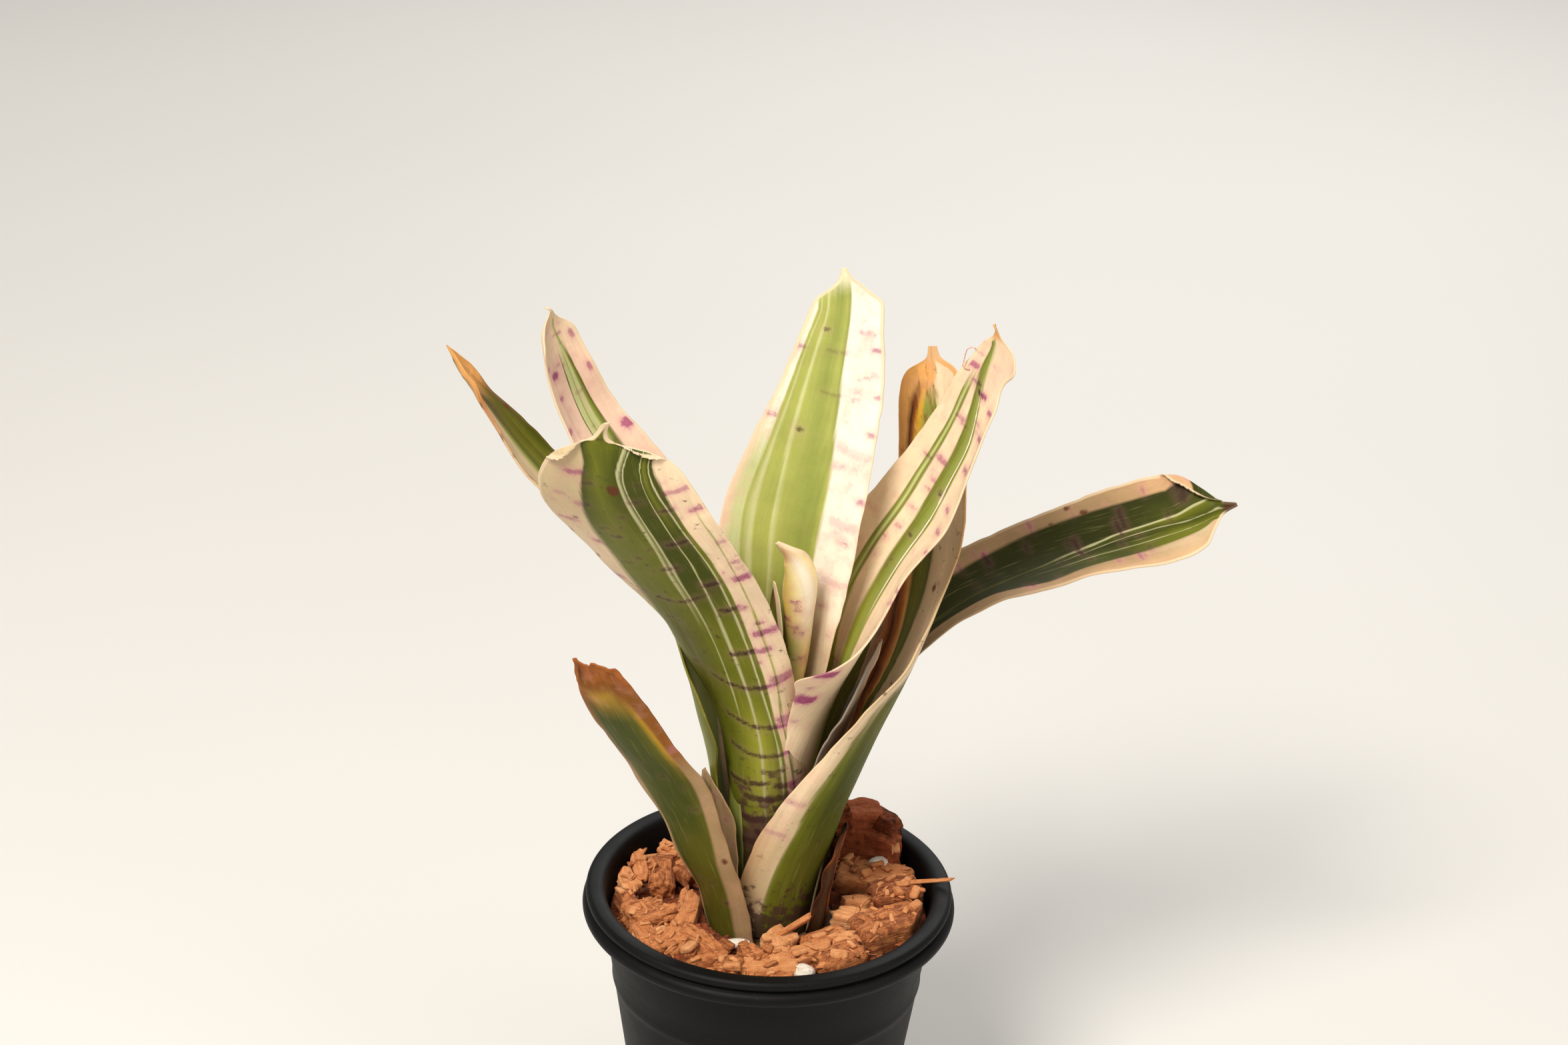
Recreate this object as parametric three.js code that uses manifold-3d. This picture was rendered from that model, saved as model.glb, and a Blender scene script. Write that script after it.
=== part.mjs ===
// Potted neoregelia: a variegated rosette in a black nursery pot filled with husk chips.
// Millimetres, +Z up, origin at the centre of the pot's underside, front of the plant towards -Y.
import * as THREE from "three";
import Module from "manifold-3d";

const wasm = await Module();
wasm.setup();
const { Manifold, Mesh } = wasm;

// Pot
const POT_HEIGHT = 95;
const RIM_RADIUS = 55;
const LIP_INNER_RADIUS = 49.2;
const BASE_RADIUS = 37;
const WALL = 1.2;
const FLOOR = 1.6;
const POT_SIDES = 50;
const DRAIN_HOLES = 6;
const DRAIN_RADIUS = 4;
const DRAIN_RING = 25;

// Medium, stem and chips
const CLEARANCE = 0.3;
const SOIL_LEVEL = 84;
const STEM_RADIUS = 19.5;
const STEM_ROOT_RADIUS = 7;
const STEM_SHOULDER = 78;
const STEM_BOTTOM = 62;
const PLANT_CORE_RADIUS = 13;
const PLANT_CORE_TOP = 100;
const CHIP_COUNT = 41;
const DARK_CHIP_COUNT = 18;
const CHIP_RING_INNER = 23;
const CHIP_RING_WIDTH = 20;
const CRUMB_BED = 1.6;

// Leaves
const LEAF_THICKNESS = 1.0;
const EDGE_THICKNESS = 0.65;
const CARVE_GAP = 0.35;
const LEAF_FOOT = SOIL_LEVEL;

// Each leaf: spine is the midrib on the outer face, face the compass angle that face looks to,
// width the arc width and wrap the arc angle of the cross-section, all keyed along the length.
// Reach, where given, is how far the sides of negative and of positive u go round the same arc.
const LEAVES = {
  leaf_a: {
    spine: [[-4.8, -10.2, 80], [-5.2, -10.6, 109], [-6.5, -11, 130], [-9, -12, 152], [-14.5, -14.5, 173],
      [-22.5, -18.5, 193.5], [-32, -22.5, 210.5], [-41.5, -27.5, 225.5], [-47.5, -32, 239.5],
      [-50, -35.5, 253], [-49, -37, 262]],
    face: [[0, 245], [0.3, 245], [0.5, 252], [0.75, 260], [1, 265]],
    roll: [[0, 0], [1, 0]],
    width: [[0, 39], [0.25, 39.5], [0.42, 39], [0.58, 43], [0.7, 46], [0.79, 47], [0.88, 44], [0.92, 37],
      [0.942, 27], [0.96, 12], [0.972, 4.4], [1, 1.4]],
    wrap: [[0, 200], [0.25, 190], [0.42, 120], [0.6, 63], [0.72, 46], [0.83, 42], [0.93, 48], [1, 40]],
    reach: [[0, 1, 1], [0.55, 1, 1], [0.62, 1.02, 1.08], [0.7, 1.04, 1.22], [0.77, 1.04, 1.28],
      [0.83, 1.03, 1.2], [0.88, 1, 1.05], [0.93, 1, 0.92], [1, 1, 0.9]],
    wave: [0.5, 5, 0.3],
    colour: 0x6f9a35,
  },
  leaf_b: {
    spine: [[0.3, 7.2, 80], [0.4, 7.3, 120], [0.7, 8, 160], [1.4, 9.5, 184], [3.5, 13, 207], [8.5, 19, 226],
      [13.5, 26.5, 244], [16.5, 34.5, 261], [17, 38.5, 271], [16, 41, 278]],
    face: [[0, 88], [1, 80]],
    roll: [[0, 0], [1, 0]],
    width: [[0, 24], [0.3, 28], [0.48, 38], [0.6, 43], [0.71, 39], [0.81, 32], [0.9, 25], [0.955, 18],
      [0.975, 9], [0.985, 4], [1, 1.4]],
    wrap: [[0, 190], [0.3, 180], [0.5, 90], [0.7, 50], [0.9, 35], [1, 30]],
    reach: [[0, 1, 1], [0.9, 1, 1], [0.935, 1, 1.07], [0.955, 1, 1.2], [0.966, 1, 1.05], [0.975, 1, 1],
      [1, 1, 1]],
    wave: [0.4, 4, 1.1],
    colour: 0xa9bf6a,
  },
  leaf_c: {
    spine: [[8.9, 2.2, 80], [10.2, 2.1, 125], [14.5, 3, 150], [19, 4.6, 168], [24, 7, 184],
      [32, 9.5, 200.5], [43.5, 12, 218.5], [53, 13.5, 238.5], [58.5, 14.5, 257.5], [60, 15, 265],
      [59, 15.5, 273]],
    face: [[0, 15], [0.86, 13], [0.95, 24], [1, 26]],
    roll: [[0, 0], [0.35, 0], [0.5, 12], [0.8, 13], [1, 5]],
    width: [[0, 33.5], [0.2, 37], [0.35, 43], [0.5, 41], [0.6, 40], [0.75, 36], [0.87, 27], [0.93, 20],
      [0.965, 13], [0.98, 4], [1, 1.4]],
    wrap: [[0, 210], [0.2, 205], [0.35, 185], [0.47, 100], [0.6, 60], [0.86, 60], [0.94, 34], [1, 30]],
    reach: [[0, 1, 0.8], [0.25, 1, 0.85], [0.33, 1, 1], [0.38, 1, 1.15], [0.42, 1, 1.42], [0.445, 1, 1.68],
      [0.47, 1, 1.4], [0.5, 1, 1.18], [0.54, 1, 1.05], [0.6, 1, 1], [0.88, 1, 0.95], [0.91, 1, 0.72],
      [0.93, 0.98, 0.9], [0.952, 0.95, 1.65], [0.965, 0.95, 1.4], [0.98, 1, 1], [1, 1, 1]],
    wave: [0.5, 5, 2.0],
    colour: 0xd9d2a4,
  },
  leaf_d: {
    spine: [[14.1, -0.9, 80], [15.5, -1.8, 101], [20, -1.5, 118], [25.5, -0.5, 134], [31, 2.5, 149],
      [36.5, 7.5, 162.5], [41.5, 13.5, 176.5], [45, 20.5, 192.5], [46.5, 27.5, 210], [46, 33.5, 229],
      [44, 38, 245], [42.5, 41, 254.5]],
    face: [[0, 356], [0.3, 358], [0.6, 370], [1, 375]],
    roll: [[0, 0], [0.5, 0], [0.8, 12], [1, 15]],
    width: [[0, 53], [0.12, 46], [0.25, 38], [0.4, 34], [0.6, 34], [0.75, 32], [0.88, 28], [0.94, 24],
      [0.965, 18], [0.98, 6], [0.988, 3.4], [1, 2.6]],
    wrap: [[0, 215], [0.12, 170], [0.25, 120], [0.4, 85], [0.6, 65], [1, 50]],
    reach: [[0, 1, 1.3], [0.12, 1, 1.42], [0.21, 1, 1.57], [0.3, 1, 1.64], [0.38, 1, 1.56],
      [0.45, 1, 1.4], [0.52, 1, 1.1], [0.6, 1, 1], [1, 1, 1]],
    wave: [0.6, 4, 0.7],
    colour: 0xb39a5c,
  },
  leaf_e: {
    spine: [[12.5, 9.4, 80], [13.4, 10.3, 104], [15.8, 13, 124], [20.5, 17, 141], [28.5, 22, 156],
      [39, 28, 168], [53.5, 34.5, 176.5], [71, 42, 182], [90, 49.5, 186], [109, 55.5, 189.5],
      [125, 60, 193.5], [138.5, 63, 196]],
    face: [[0, 37], [0.4, 37], [0.6, 25], [1, 22]],
    roll: [[0, 0], [0.5, 12], [0.8, 20], [1, 20]],
    width: [[0, 45], [0.2, 36], [0.4, 27], [0.55, 26], [0.68, 28.5], [0.8, 32], [0.88, 33], [0.93, 28],
      [0.955, 16], [0.975, 6], [1, 1.4]],
    wrap: [[0, 165], [0.2, 125], [0.4, 85], [0.7, 60], [1, 50]],
    wave: [0.4, 5, 0.2],
    colour: 0x5f7a38,
  },
  leaf_f: {
    spine: [[-10.8, 6.2, 80], [-10.8, 6.6, 115], [-11.5, 8, 145], [-15, 11, 162], [-23, 16, 180],
      [-34, 22.5, 198], [-46.5, 29.5, 214], [-58, 35.5, 228], [-65, 38.5, 243], [-69.5, 40, 256],
      [-71, 40.5, 263]],
    face: [[0, 150], [1, 150]],
    roll: [[0, 0], [1, 0]],
    width: [[0, 37], [0.25, 33], [0.45, 34], [0.65, 34], [0.8, 29], [0.9, 22.5], [0.94, 19.5],
      [0.965, 15], [0.98, 7], [0.988, 3.2], [1, 1.6]],
    wrap: [[0, 170], [0.25, 150], [0.45, 90], [0.7, 60], [1, 60]],
    reach: [[0, 1, 1], [0.8, 1, 1], [0.88, 1.06, 1], [0.93, 1.28, 1], [0.955, 1.6, 1.05], [0.972, 1.5, 1],
      [0.982, 1, 1], [1, 1, 1]],
    wave: [0.6, 6, 1.6],
    colour: 0xdcc3a4,
  },
  leaf_g: {
    spine: [[-13.6, 3.6, 80], [-14.6, 3.8, 110], [-17.6, 4.5, 132], [-19.7, 6, 147], [-23.5, 9.5, 163.5],
      [-30.6, 13, 179], [-45.2, 17, 194], [-61.5, 21, 208], [-75.5, 25, 221.5], [-86.5, 27.5, 235.5],
      [-94.5, 29.5, 247], [-98.5, 30, 254]],
    face: [[0, 165], [1, 162]],
    roll: [[0, 0], [0.6, 0], [0.8, 8], [1, 10]],
    width: [[0, 28], [0.18, 27], [0.26, 23], [0.33, 28], [0.45, 32], [0.6, 31], [0.75, 27], [0.86, 20],
      [0.91, 14], [0.95, 9], [0.98, 5.5], [1, 2.4]],
    wrap: [[0, 115], [0.25, 95], [0.45, 80], [0.7, 70], [1, 60]],
    reach: [[0, 1, 1], [0.24, 1, 1], [0.28, 1.12, 1], [0.32, 1.4, 1], [0.37, 1.4, 1], [0.43, 0.95, 1],
      [0.5, 0.55, 1], [0.58, 0.58, 1], [0.68, 0.85, 1], [0.78, 1, 1], [1, 1, 1]],
    wave: [0.5, 5, 0.9],
    colour: 0x7d8246,
  },
  leaf_h: {
    spine: [[-11.4, -14.3, 80], [-15, -17.5, 99], [-20, -21.5, 115], [-24.5, -25, 129.5],
      [-30.5, -29, 144.5], [-38, -33, 157.5], [-44, -37, 170.5], [-48.5, -40.5, 181], [-53, -43.5, 192]],
    face: [[0, 235], [0.3, 250], [0.6, 258], [1, 262]],
    roll: [[0, 0], [1, 0]],
    width: [[0, 17], [0.2, 18], [0.4, 20], [0.55, 24], [0.68, 22], [0.8, 20], [0.93, 16], [1, 9]],
    wrap: [[0, 60], [0.3, 50], [1, 40]],
    wave: [0.3, 4, 0.4],
    colour: 0x4f6a2a,
  },
  leaf_i: {
    spine: [[3.4, -2.4, 80], [4.4, -2.4, 150], [7.6, -2.4, 170], [8.4, -3.2, 184], [8, -4, 195],
      [4.4, -4.8, 205], [-1, -5, 211.5]],
    face: [[0, 320], [1, 300]],
    roll: [[0, 0], [1, 0]],
    width: [[0, 9], [0.5, 9], [0.66, 12], [0.78, 16], [0.86, 18], [0.92, 13], [0.965, 6], [1, 1.4]],
    wrap: [[0, 230], [0.6, 230], [0.9, 190], [1, 90]],
    wave: [0, 1, 0],
    colour: 0xe3d694,
  },
  leaf_j: {
    spine: [[-1.6, -1, 80], [-1.6, -1, 150], [-1.6, -1, 175], [-1.6, -1, 188], [-1.6, -1, 197]],
    face: [[0, 200], [1, 200]],
    roll: [[0, 0], [1, 0]],
    width: [[0, 7], [0.5, 9], [0.85, 11], [0.95, 7], [1, 1.6]],
    wrap: [[0, 110], [0.6, 100], [1, 60]],
    wave: [0, 1, 0],
    colour: 0x8c8d3c,
  },
  sheath_k: {
    spine: [[-16.1, -3.6, 80], [-16.9, -4, 100], [-18.2, -5, 120], [-20, -6.4, 137]],
    face: [[0, 192], [0.5, 200], [1, 205]],
    roll: [[0, 0], [1, 0]],
    width: [[0, 22], [0.4, 25], [0.75, 23], [0.9, 16], [1, 3]],
    wrap: [[0, 76], [0.75, 66], [1, 40]],
    wave: [0.3, 2, 0],
    colour: 0x80804a,
  },
  sheath_l: {
    spine: [[17, -4.6, 80], [17.8, -4.4, 92], [20, -4, 106], [23, -3.2, 118]],
    face: [[0, 348], [1, 350]],
    roll: [[0, 0], [1, 0]],
    width: [[0, 24], [0.4, 21], [0.7, 16], [0.9, 10], [1, 4]],
    wrap: [[0, 80], [0.6, 66], [1, 40]],
    wave: [0.5, 4, 0.5],
    colour: 0x5a3420,
  },
  sheath_papery: {
    spine: [[11.7, -4.3, 80], [12.4, -4.6, 112], [16.5, -5.6, 135], [22, -6.2, 153], [26.5, -6, 168],
      [30.5, -5.4, 181]],
    face: [[0, 340], [1, 345]],
    roll: [[0, 0], [1, 0]],
    width: [[0, 21], [0.5, 24], [0.75, 22], [0.9, 14], [1, 4]],
    wrap: [[0, 96], [0.5, 90], [1, 40]],
    wave: [0.4, 3, 0.2],
    colour: 0x8b8172,
  },
};

// Inner leaves first. An outer leaf is carved clear of the ones listed with it.
const CARVES = {
  leaf_j: ["leaf_i"],
  leaf_b: ["leaf_i", "leaf_j"],
  leaf_c: ["leaf_i", "leaf_j", "leaf_b"],
  leaf_a: ["leaf_i", "leaf_j", "leaf_b", "leaf_c"],
  sheath_papery: ["leaf_a", "leaf_c"],
  leaf_f: ["leaf_a", "leaf_b", "leaf_c"],
  leaf_d: ["leaf_c", "leaf_a", "leaf_b", "leaf_f", "sheath_papery"],
  leaf_g: ["leaf_f", "leaf_a", "leaf_d"],
  leaf_e: ["leaf_d", "leaf_f"],
  sheath_k: ["leaf_g", "leaf_a", "leaf_f"],
  leaf_h: ["sheath_k", "leaf_a", "leaf_d"],
  sheath_l: ["leaf_d", "leaf_e"],
};

// Seeded draws in [0, 1)
function makeRandom(seed) {
  let state = seed >>> 0;
  return () => {
    state = (state + 0x6d2b79f5) >>> 0;
    let t = state;
    t = Math.imul(t ^ (t >>> 15), t | 1);
    t ^= t + Math.imul(t ^ (t >>> 7), t | 61);
    return ((t ^ (t >>> 14)) >>> 0) / 4294967296;
  };
}

// Cubic through keys [position, value...], with slopes from the neighbouring keys
function keyed(keys, t) {
  const last = keys.length - 1;
  const clamped = Math.min(Math.max(t, keys[0][0]), keys[last][0]);
  let i = 0;
  while (i < last - 1 && keys[i + 1][0] <= clamped) i += 1;
  const slope = (j, c) => {
    const a = keys[Math.max(j - 1, 0)];
    const b = keys[Math.min(j + 1, last)];
    return (b[c] - a[c]) / (b[0] - a[0]);
  };
  const h = keys[i + 1][0] - keys[i][0];
  const s = (clamped - keys[i][0]) / h;
  const s2 = s * s;
  const s3 = s2 * s;
  return keys[i].slice(1).map((value, k) => {
    const c = k + 1;
    return value * (2 * s3 - 3 * s2 + 1) + slope(i, c) * h * (s3 - 2 * s2 + s)
      + keys[i + 1][c] * (3 * s2 - 2 * s3) + slope(i + 1, c) * h * (s3 - s2);
  });
}

// Spine points keyed by their share of the whole length
function spineKeys(points) {
  const along = [0];
  for (let i = 1; i < points.length; i += 1) {
    const step = Math.hypot(...points[i].map((v, c) => v - points[i - 1][c]));
    along.push(along[i - 1] + step);
  }
  return points.map((p, i) => [along[i] / along[points.length - 1], ...p]);
}

// Closed solid from shared vertices and triangles
function solidFrom(vertices, triangles) {
  const mesh = new Mesh({
    numProp: 3,
    vertProperties: new Float32Array(vertices.flat()),
    triVerts: new Uint32Array(triangles.flat()),
  });
  return new Manifold(mesh);
}

// Leaf frame at t: spine point, inward normal and the direction across the blade
function leafFrame(leaf, keys, t) {
  const step = 1e-3;
  const at = new THREE.Vector3(...keyed(keys, t));
  const ahead = new THREE.Vector3(...keyed(keys, Math.min(1, t + step)));
  const behind = new THREE.Vector3(...keyed(keys, Math.max(0, t - step)));
  const along = ahead.sub(behind).normalize();
  const compass = THREE.MathUtils.degToRad(keyed(leaf.face, t)[0]);
  const inward = new THREE.Vector3(-Math.cos(compass), -Math.sin(compass), 1);
  inward.addScaledVector(along, -inward.dot(along)).normalize();
  inward.applyAxisAngle(along, THREE.MathUtils.degToRad(keyed(leaf.roll, t)[0]));
  const across = new THREE.Vector3().crossVectors(along, inward);
  return { at, inward, across };
}

// Blade surface point at t along and u across (-1 to 1), lifted inward by depth
function leafPoint(leaf, frame, t, u, depth) {
  const width = keyed(leaf.width, t)[0];
  const arc = THREE.MathUtils.degToRad(keyed(leaf.wrap, t)[0]);
  const radius = width / arc;
  const [low, high] = leaf.reach ? keyed(leaf.reach, t) : [1, 1];
  const angle = u * (u > 0 ? high : low) * arc / 2;
  const [size, turns, phase] = leaf.wave;
  const wave = size * u * u * Math.sin((t * turns + phase + u * 0.15) * 2 * Math.PI) * Math.min(1, t * 3);
  const inner = radius - depth - wave;
  const point = frame.at.clone();
  point.addScaledVector(frame.inward, radius - inner * Math.cos(angle));
  point.addScaledVector(frame.across, inner * Math.sin(angle));
  return point.toArray();
}

function leafStations(rows) {
  const body = Array.from({ length: rows + 1 }, (_, i) => i / rows * 0.92);
  return [...body, 0.94, 0.958, 0.975, 1];
}

// Leaf solid between its outer face and its inner face, grown by margin on every side
function leafSolid(leaf, rows, columns, margin) {
  const keys = spineKeys(leaf.spine);
  const stations = leafStations(rows);
  const vertices = [];
  for (const t of stations) {
    const frame = leafFrame(leaf, keys, t);
    const grow = margin / Math.max(keyed(leaf.width, t)[0] / 2, 0.5);
    for (const side of [0, 1]) {
      for (let c = 0; c <= columns; c += 1) {
        const u = -1 + 2 * c / columns;
        const thick = EDGE_THICKNESS + (LEAF_THICKNESS - EDGE_THICKNESS) * (1 - u * u);
        const depth = side === 0 ? -margin : thick + margin;
        vertices.push(leafPoint(leaf, frame, t, u * (1 + grow), depth));
      }
    }
  }
  return solidFrom(vertices, stripTriangles(stations.length, columns));
}

// Triangles of a strip with an outer and an inner sheet, the same split on both
function stripTriangles(stationCount, columns) {
  const ring = 2 * (columns + 1);
  const id = (row, side, c) => row * ring + side * (columns + 1) + c;
  const triangles = [];
  const quad = (a, b, c, d) => triangles.push([a, b, c], [a, c, d]);
  for (let r = 0; r < stationCount - 1; r += 1) {
    for (let c = 0; c < columns; c += 1) {
      quad(id(r, 0, c), id(r + 1, 0, c), id(r + 1, 0, c + 1), id(r, 0, c + 1));
      triangles.push([id(r, 1, c), id(r + 1, 1, c + 1), id(r + 1, 1, c)]);
      triangles.push([id(r, 1, c), id(r, 1, c + 1), id(r + 1, 1, c + 1)]);
    }
    quad(id(r, 0, 0), id(r, 1, 0), id(r + 1, 1, 0), id(r + 1, 0, 0));
    quad(id(r, 0, columns), id(r + 1, 0, columns), id(r + 1, 1, columns), id(r, 1, columns));
  }
  const end = stationCount - 1;
  for (let c = 0; c < columns; c += 1) {
    quad(id(0, 0, c), id(0, 0, c + 1), id(0, 1, c + 1), id(0, 1, c));
    quad(id(end, 0, c), id(end, 1, c), id(end, 1, c + 1), id(end, 0, c + 1));
  }
  return triangles;
}

// Largest connected body of a solid
function largest(solid) {
  const pieces = solid.decompose();
  pieces.sort((a, b) => b.volume() - a.volume());
  return pieces[0];
}

function columnsFor(name) {
  return name === "leaf_i" || name === "leaf_d" ? 8 : 6;
}

function rowsFor(name) {
  if (name.startsWith("sheath")) return 8;
  return name === "leaf_j" ? 8 : 20;
}

// All leaves, trimmed flat at the foot and carved clear of the leaves inside them
function buildLeaves() {
  const solids = {};
  const order = ["leaf_i", ...Object.keys(CARVES)];
  for (const name of order) {
    const leaf = LEAVES[name];
    let solid = leafSolid(leaf, rowsFor(name), columnsFor(name), 0);
    solid = solid.trimByPlane([0, 0, 1], LEAF_FOOT);
    for (const inner of CARVES[name] ?? []) {
      const overlap = solid.intersect(solids[inner]).volume();
      if (overlap > 1e-6) {
        solid = solid.subtract(leafSolid(LEAVES[inner], rowsFor(inner), columnsFor(inner), CARVE_GAP));
      }
    }
    solids[name] = largest(solid);
  }
  return solids;
}

// Solid of revolution; the profile runs from the axis round and back to the axis
function lathe(profile, sides) {
  const vertices = [];
  const rings = [];
  for (const [r, z] of profile) {
    rings.push(vertices.length);
    if (r === 0) {
      vertices.push([0, 0, z]);
      continue;
    }
    for (let k = 0; k < sides; k += 1) {
      const a = 2 * Math.PI * k / sides;
      vertices.push([r * Math.cos(a), r * Math.sin(a), z]);
    }
  }
  const triangles = [];
  for (let i = 0; i < profile.length - 1; i += 1) {
    for (let k = 0; k < sides; k += 1) {
      const n = (k + 1) % sides;
      const [a, b] = [rings[i], rings[i + 1]];
      if (profile[i][0] === 0) triangles.push([a, b + n, b + k]);
      else if (profile[i + 1][0] === 0) triangles.push([a + k, a + n, b]);
      else triangles.push([a + k, a + n, b + n], [a + k, b + n, b + k]);
    }
  }
  return solidFrom(vertices, triangles);
}

// Outer wall radius of the pot at height z, below the rim
function wallRadius(z) {
  return BASE_RADIUS + (49.6 - BASE_RADIUS) * z / 86;
}

// Nursery pot: tapered wall with two faint rings, a lower bead, a groove and a rounded lip
function buildPot() {
  const outer = [
    [0, 0], [BASE_RADIUS - 1.2, 0], [BASE_RADIUS, 1.2], [wallRadius(64), 64], [wallRadius(64) + 0.5, 64.6],
    [wallRadius(67), 67], [wallRadius(85), 85], [RIM_RADIUS + 0.2, 87.4], [RIM_RADIUS + 1, 88.6],
    [RIM_RADIUS + 1, 90], [RIM_RADIUS, 91.2], [RIM_RADIUS - 1.8, 91.7], [RIM_RADIUS - 1.8, 92.3],
    [RIM_RADIUS - 0.3, 92.8], [RIM_RADIUS, 93.8], [RIM_RADIUS - 0.7, 94.8], [RIM_RADIUS - 2.2, POT_HEIGHT],
  ];
  const inner = [
    [LIP_INNER_RADIUS + 0.6, POT_HEIGHT - 0.4], [LIP_INNER_RADIUS, POT_HEIGHT - 1.2],
    [wallRadius(86) - WALL, 86], [wallRadius(FLOOR) - WALL - 0.6, FLOOR], [0, FLOOR],
  ];
  let pot = lathe([...outer, ...inner], POT_SIDES);
  for (let k = 0; k < DRAIN_HOLES; k += 1) {
    const a = 2 * Math.PI * (k + 0.5) / DRAIN_HOLES;
    const hole = Manifold.cylinder(FLOOR * 4, DRAIN_RADIUS, DRAIN_RADIUS, 16, true);
    pot = pot.subtract(hole.translate([DRAIN_RING * Math.cos(a), DRAIN_RING * Math.sin(a), 0]));
  }
  return pot;
}

// Short stem that carries the leaf bases
function buildStem() {
  const top = SOIL_LEVEL - CLEARANCE;
  return lathe([[0, STEM_BOTTOM], [STEM_ROOT_RADIUS, STEM_BOTTOM], [STEM_RADIUS, STEM_SHOULDER],
    [STEM_RADIUS, top], [0, top]], 32);
}

// Chip: a box of jittered corners, turned about the vertical and tipped
function chipSolid(size, at, turn, tip, random, grow) {
  const corners = [];
  for (const z of [-1, 1]) {
    for (const [x, y] of [[-1, -1], [1, -1], [1, 1], [-1, 1]]) {
      const jitter = () => 0.78 + 0.44 * random();
      corners.push([x * (size[0] / 2 * jitter() + grow), y * (size[1] / 2 * jitter() + grow),
        z * (size[2] / 2 * jitter() + grow)]);
    }
  }
  return Manifold.hull(corners).rotate([tip, tip * 0.4, turn]).translate(at);
}

// Named chips that the photograph shows: x, y, height of centre, length, width, thickness, turn, tip
const LIGHT_CHIPS = [
  [-39.6, 15.5, 89, 5, 15, 5, 12, 8],
  [-32.6, 9.7, 89, 8, 13, 7, 4, 4],
  [-43, 8, 88, 6, 12, 6, 20, 0],
  [-24.5, -7.1, 88, 7, 16, 6, -8, 6],
  [-36, -10.8, 88.5, 12, 11, 6, 30, 0],
  [-27.6, -25, 88, 9, 12, 6, -30, 6],
  [-18, -32, 88, 12, 8, 5, 24, 0],
  [31.5, 14, 88, 22, 12, 8, -12, 4],
  [37, -14, 89, 22, 14, 9, 28, -4],
  [22, -30, 88, 15, 10, 7, 40, 6],
  [0.5, -34, 88, 18, 12, 6, 8, 3],
  [-9, -38, 87, 13, 9, 5, -14, 0],
  [27, -8, 88, 14, 8, 6, -20, 0],
  [38, 3, 90, 15, 12, 8, 20, 0],
  [3.5, -22, 88.5, 10, 7, 6, 50, 10],
  [7.2, -19.5, 92.5, 14, 3, 1.8, 27, -50],
];

// Parts of the large dark chunk behind the plant, and the thin stick that reaches over the rim
const CHUNK_PARTS = [
  [32, 27, 92.5, 17, 12, 17, -20, 0],
  [27, 29, 100.5, 11, 9, 12, 15, 10],
  [35, 27, 98.5, 11, 9, 14, -45, -12],
];
const STICK = [46.2, 4, 95, 18, 1.2, 1.2, -17, -41];

// Perlite grains: x, y, height of centre, length, width, thickness, turn
const PERLITE = [
  [-9.5, -22, 87.3, 9, 3.6, 3, 8],
  [10.8, -38, 88.6, 7, 5.5, 5, -10],
  [33, 18.5, 92, 6.5, 5, 4.5, 30],
  [-21, 30, 89, 5.5, 4.5, 4, 70],
  [6, 34, 89, 6, 5, 4, 15],
];

// Leaves and sheaths that stand among the chips
const OUTER_LEAVES = ["leaf_a", "leaf_f", "leaf_g", "leaf_e", "leaf_d", "leaf_h", "sheath_k", "sheath_l"];

function chipFrom(row, random, grow) {
  const [x, y, z, length, width, thick, turn, tip] = row;
  return chipSolid([length, width, thick], [x, y, z], turn, tip, random, grow);
}

// Chips scattered between the plant and the wall
function scatterRows(count, seed, level) {
  const random = makeRandom(seed);
  const rows = [];
  for (let k = 0; k < count; k += 1) {
    const angle = (k + random() * 0.9) / count * 2 * Math.PI * 5;
    const radius = CHIP_RING_INNER + CHIP_RING_WIDTH * Math.sqrt(random());
    const length = 7 + 8 * random();
    rows.push([radius * Math.cos(angle), radius * Math.sin(angle), level + 2 * random(), length,
      4 + 4 * random(), 4 + 2.5 * random(), 360 * random(), 22 * (random() - 0.5)]);
  }
  return rows;
}

function chipPile(rows, seed, grow) {
  const random = makeRandom(seed);
  return Manifold.union(rows.map((row) => chipFrom(row, random, grow)));
}

// Space inside the pot above the medium that loose pieces may use
function chipRoom() {
  return lathe([[0, 70], [LIP_INNER_RADIUS - 3.2, 70], [LIP_INNER_RADIUS - 1.4, 88],
    [LIP_INNER_RADIUS - 1, 120], [0, 120]], 48);
}

// Dark chips and the large chunk, grown by a margin
function darkPile(grow) {
  return chipPile([...CHUNK_PARTS, ...scatterRows(DARK_CHIP_COUNT, 11, SOIL_LEVEL + 0.5)], 5, grow);
}

// Growing medium with the dark chips that stand out of it
function buildMedium() {
  const wall = WALL + CLEARANCE;
  const bowl = lathe([[0, FLOOR + CLEARANCE], [wallRadius(FLOOR) - wall - 0.8, FLOOR + CLEARANCE],
    [wallRadius(SOIL_LEVEL) - wall, SOIL_LEVEL], [0, SOIL_LEVEL]], 48);
  const hole = lathe([[0, STEM_BOTTOM - CLEARANCE], [STEM_ROOT_RADIUS + CLEARANCE, STEM_BOTTOM - CLEARANCE],
    [STEM_RADIUS + CLEARANCE, STEM_SHOULDER], [STEM_RADIUS + CLEARANCE, 120], [0, 120]], 32);
  return largest(bowl.add(darkPile(0).intersect(chipRoom())).subtract(hole).subtract(grains(CLEARANCE)));
}

// Perlite grain: hull of points spread over an ellipsoid, grown by a margin
function grainSolid(row, grow) {
  const [x, y, z, length, width, thick, turn] = row;
  const count = 16;
  const points = [];
  for (let k = 0; k < count; k += 1) {
    const height = 1 - (2 * k + 1) / count;
    const ring = Math.sqrt(1 - height * height);
    const angle = k * 2.4;
    points.push([(length / 2 + grow) * ring * Math.cos(angle), (width / 2 + grow) * ring * Math.sin(angle),
      (thick / 2 + grow) * height]);
  }
  return Manifold.hull(points).rotate([0, 0, turn]).translate([x, y, z]);
}

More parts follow.
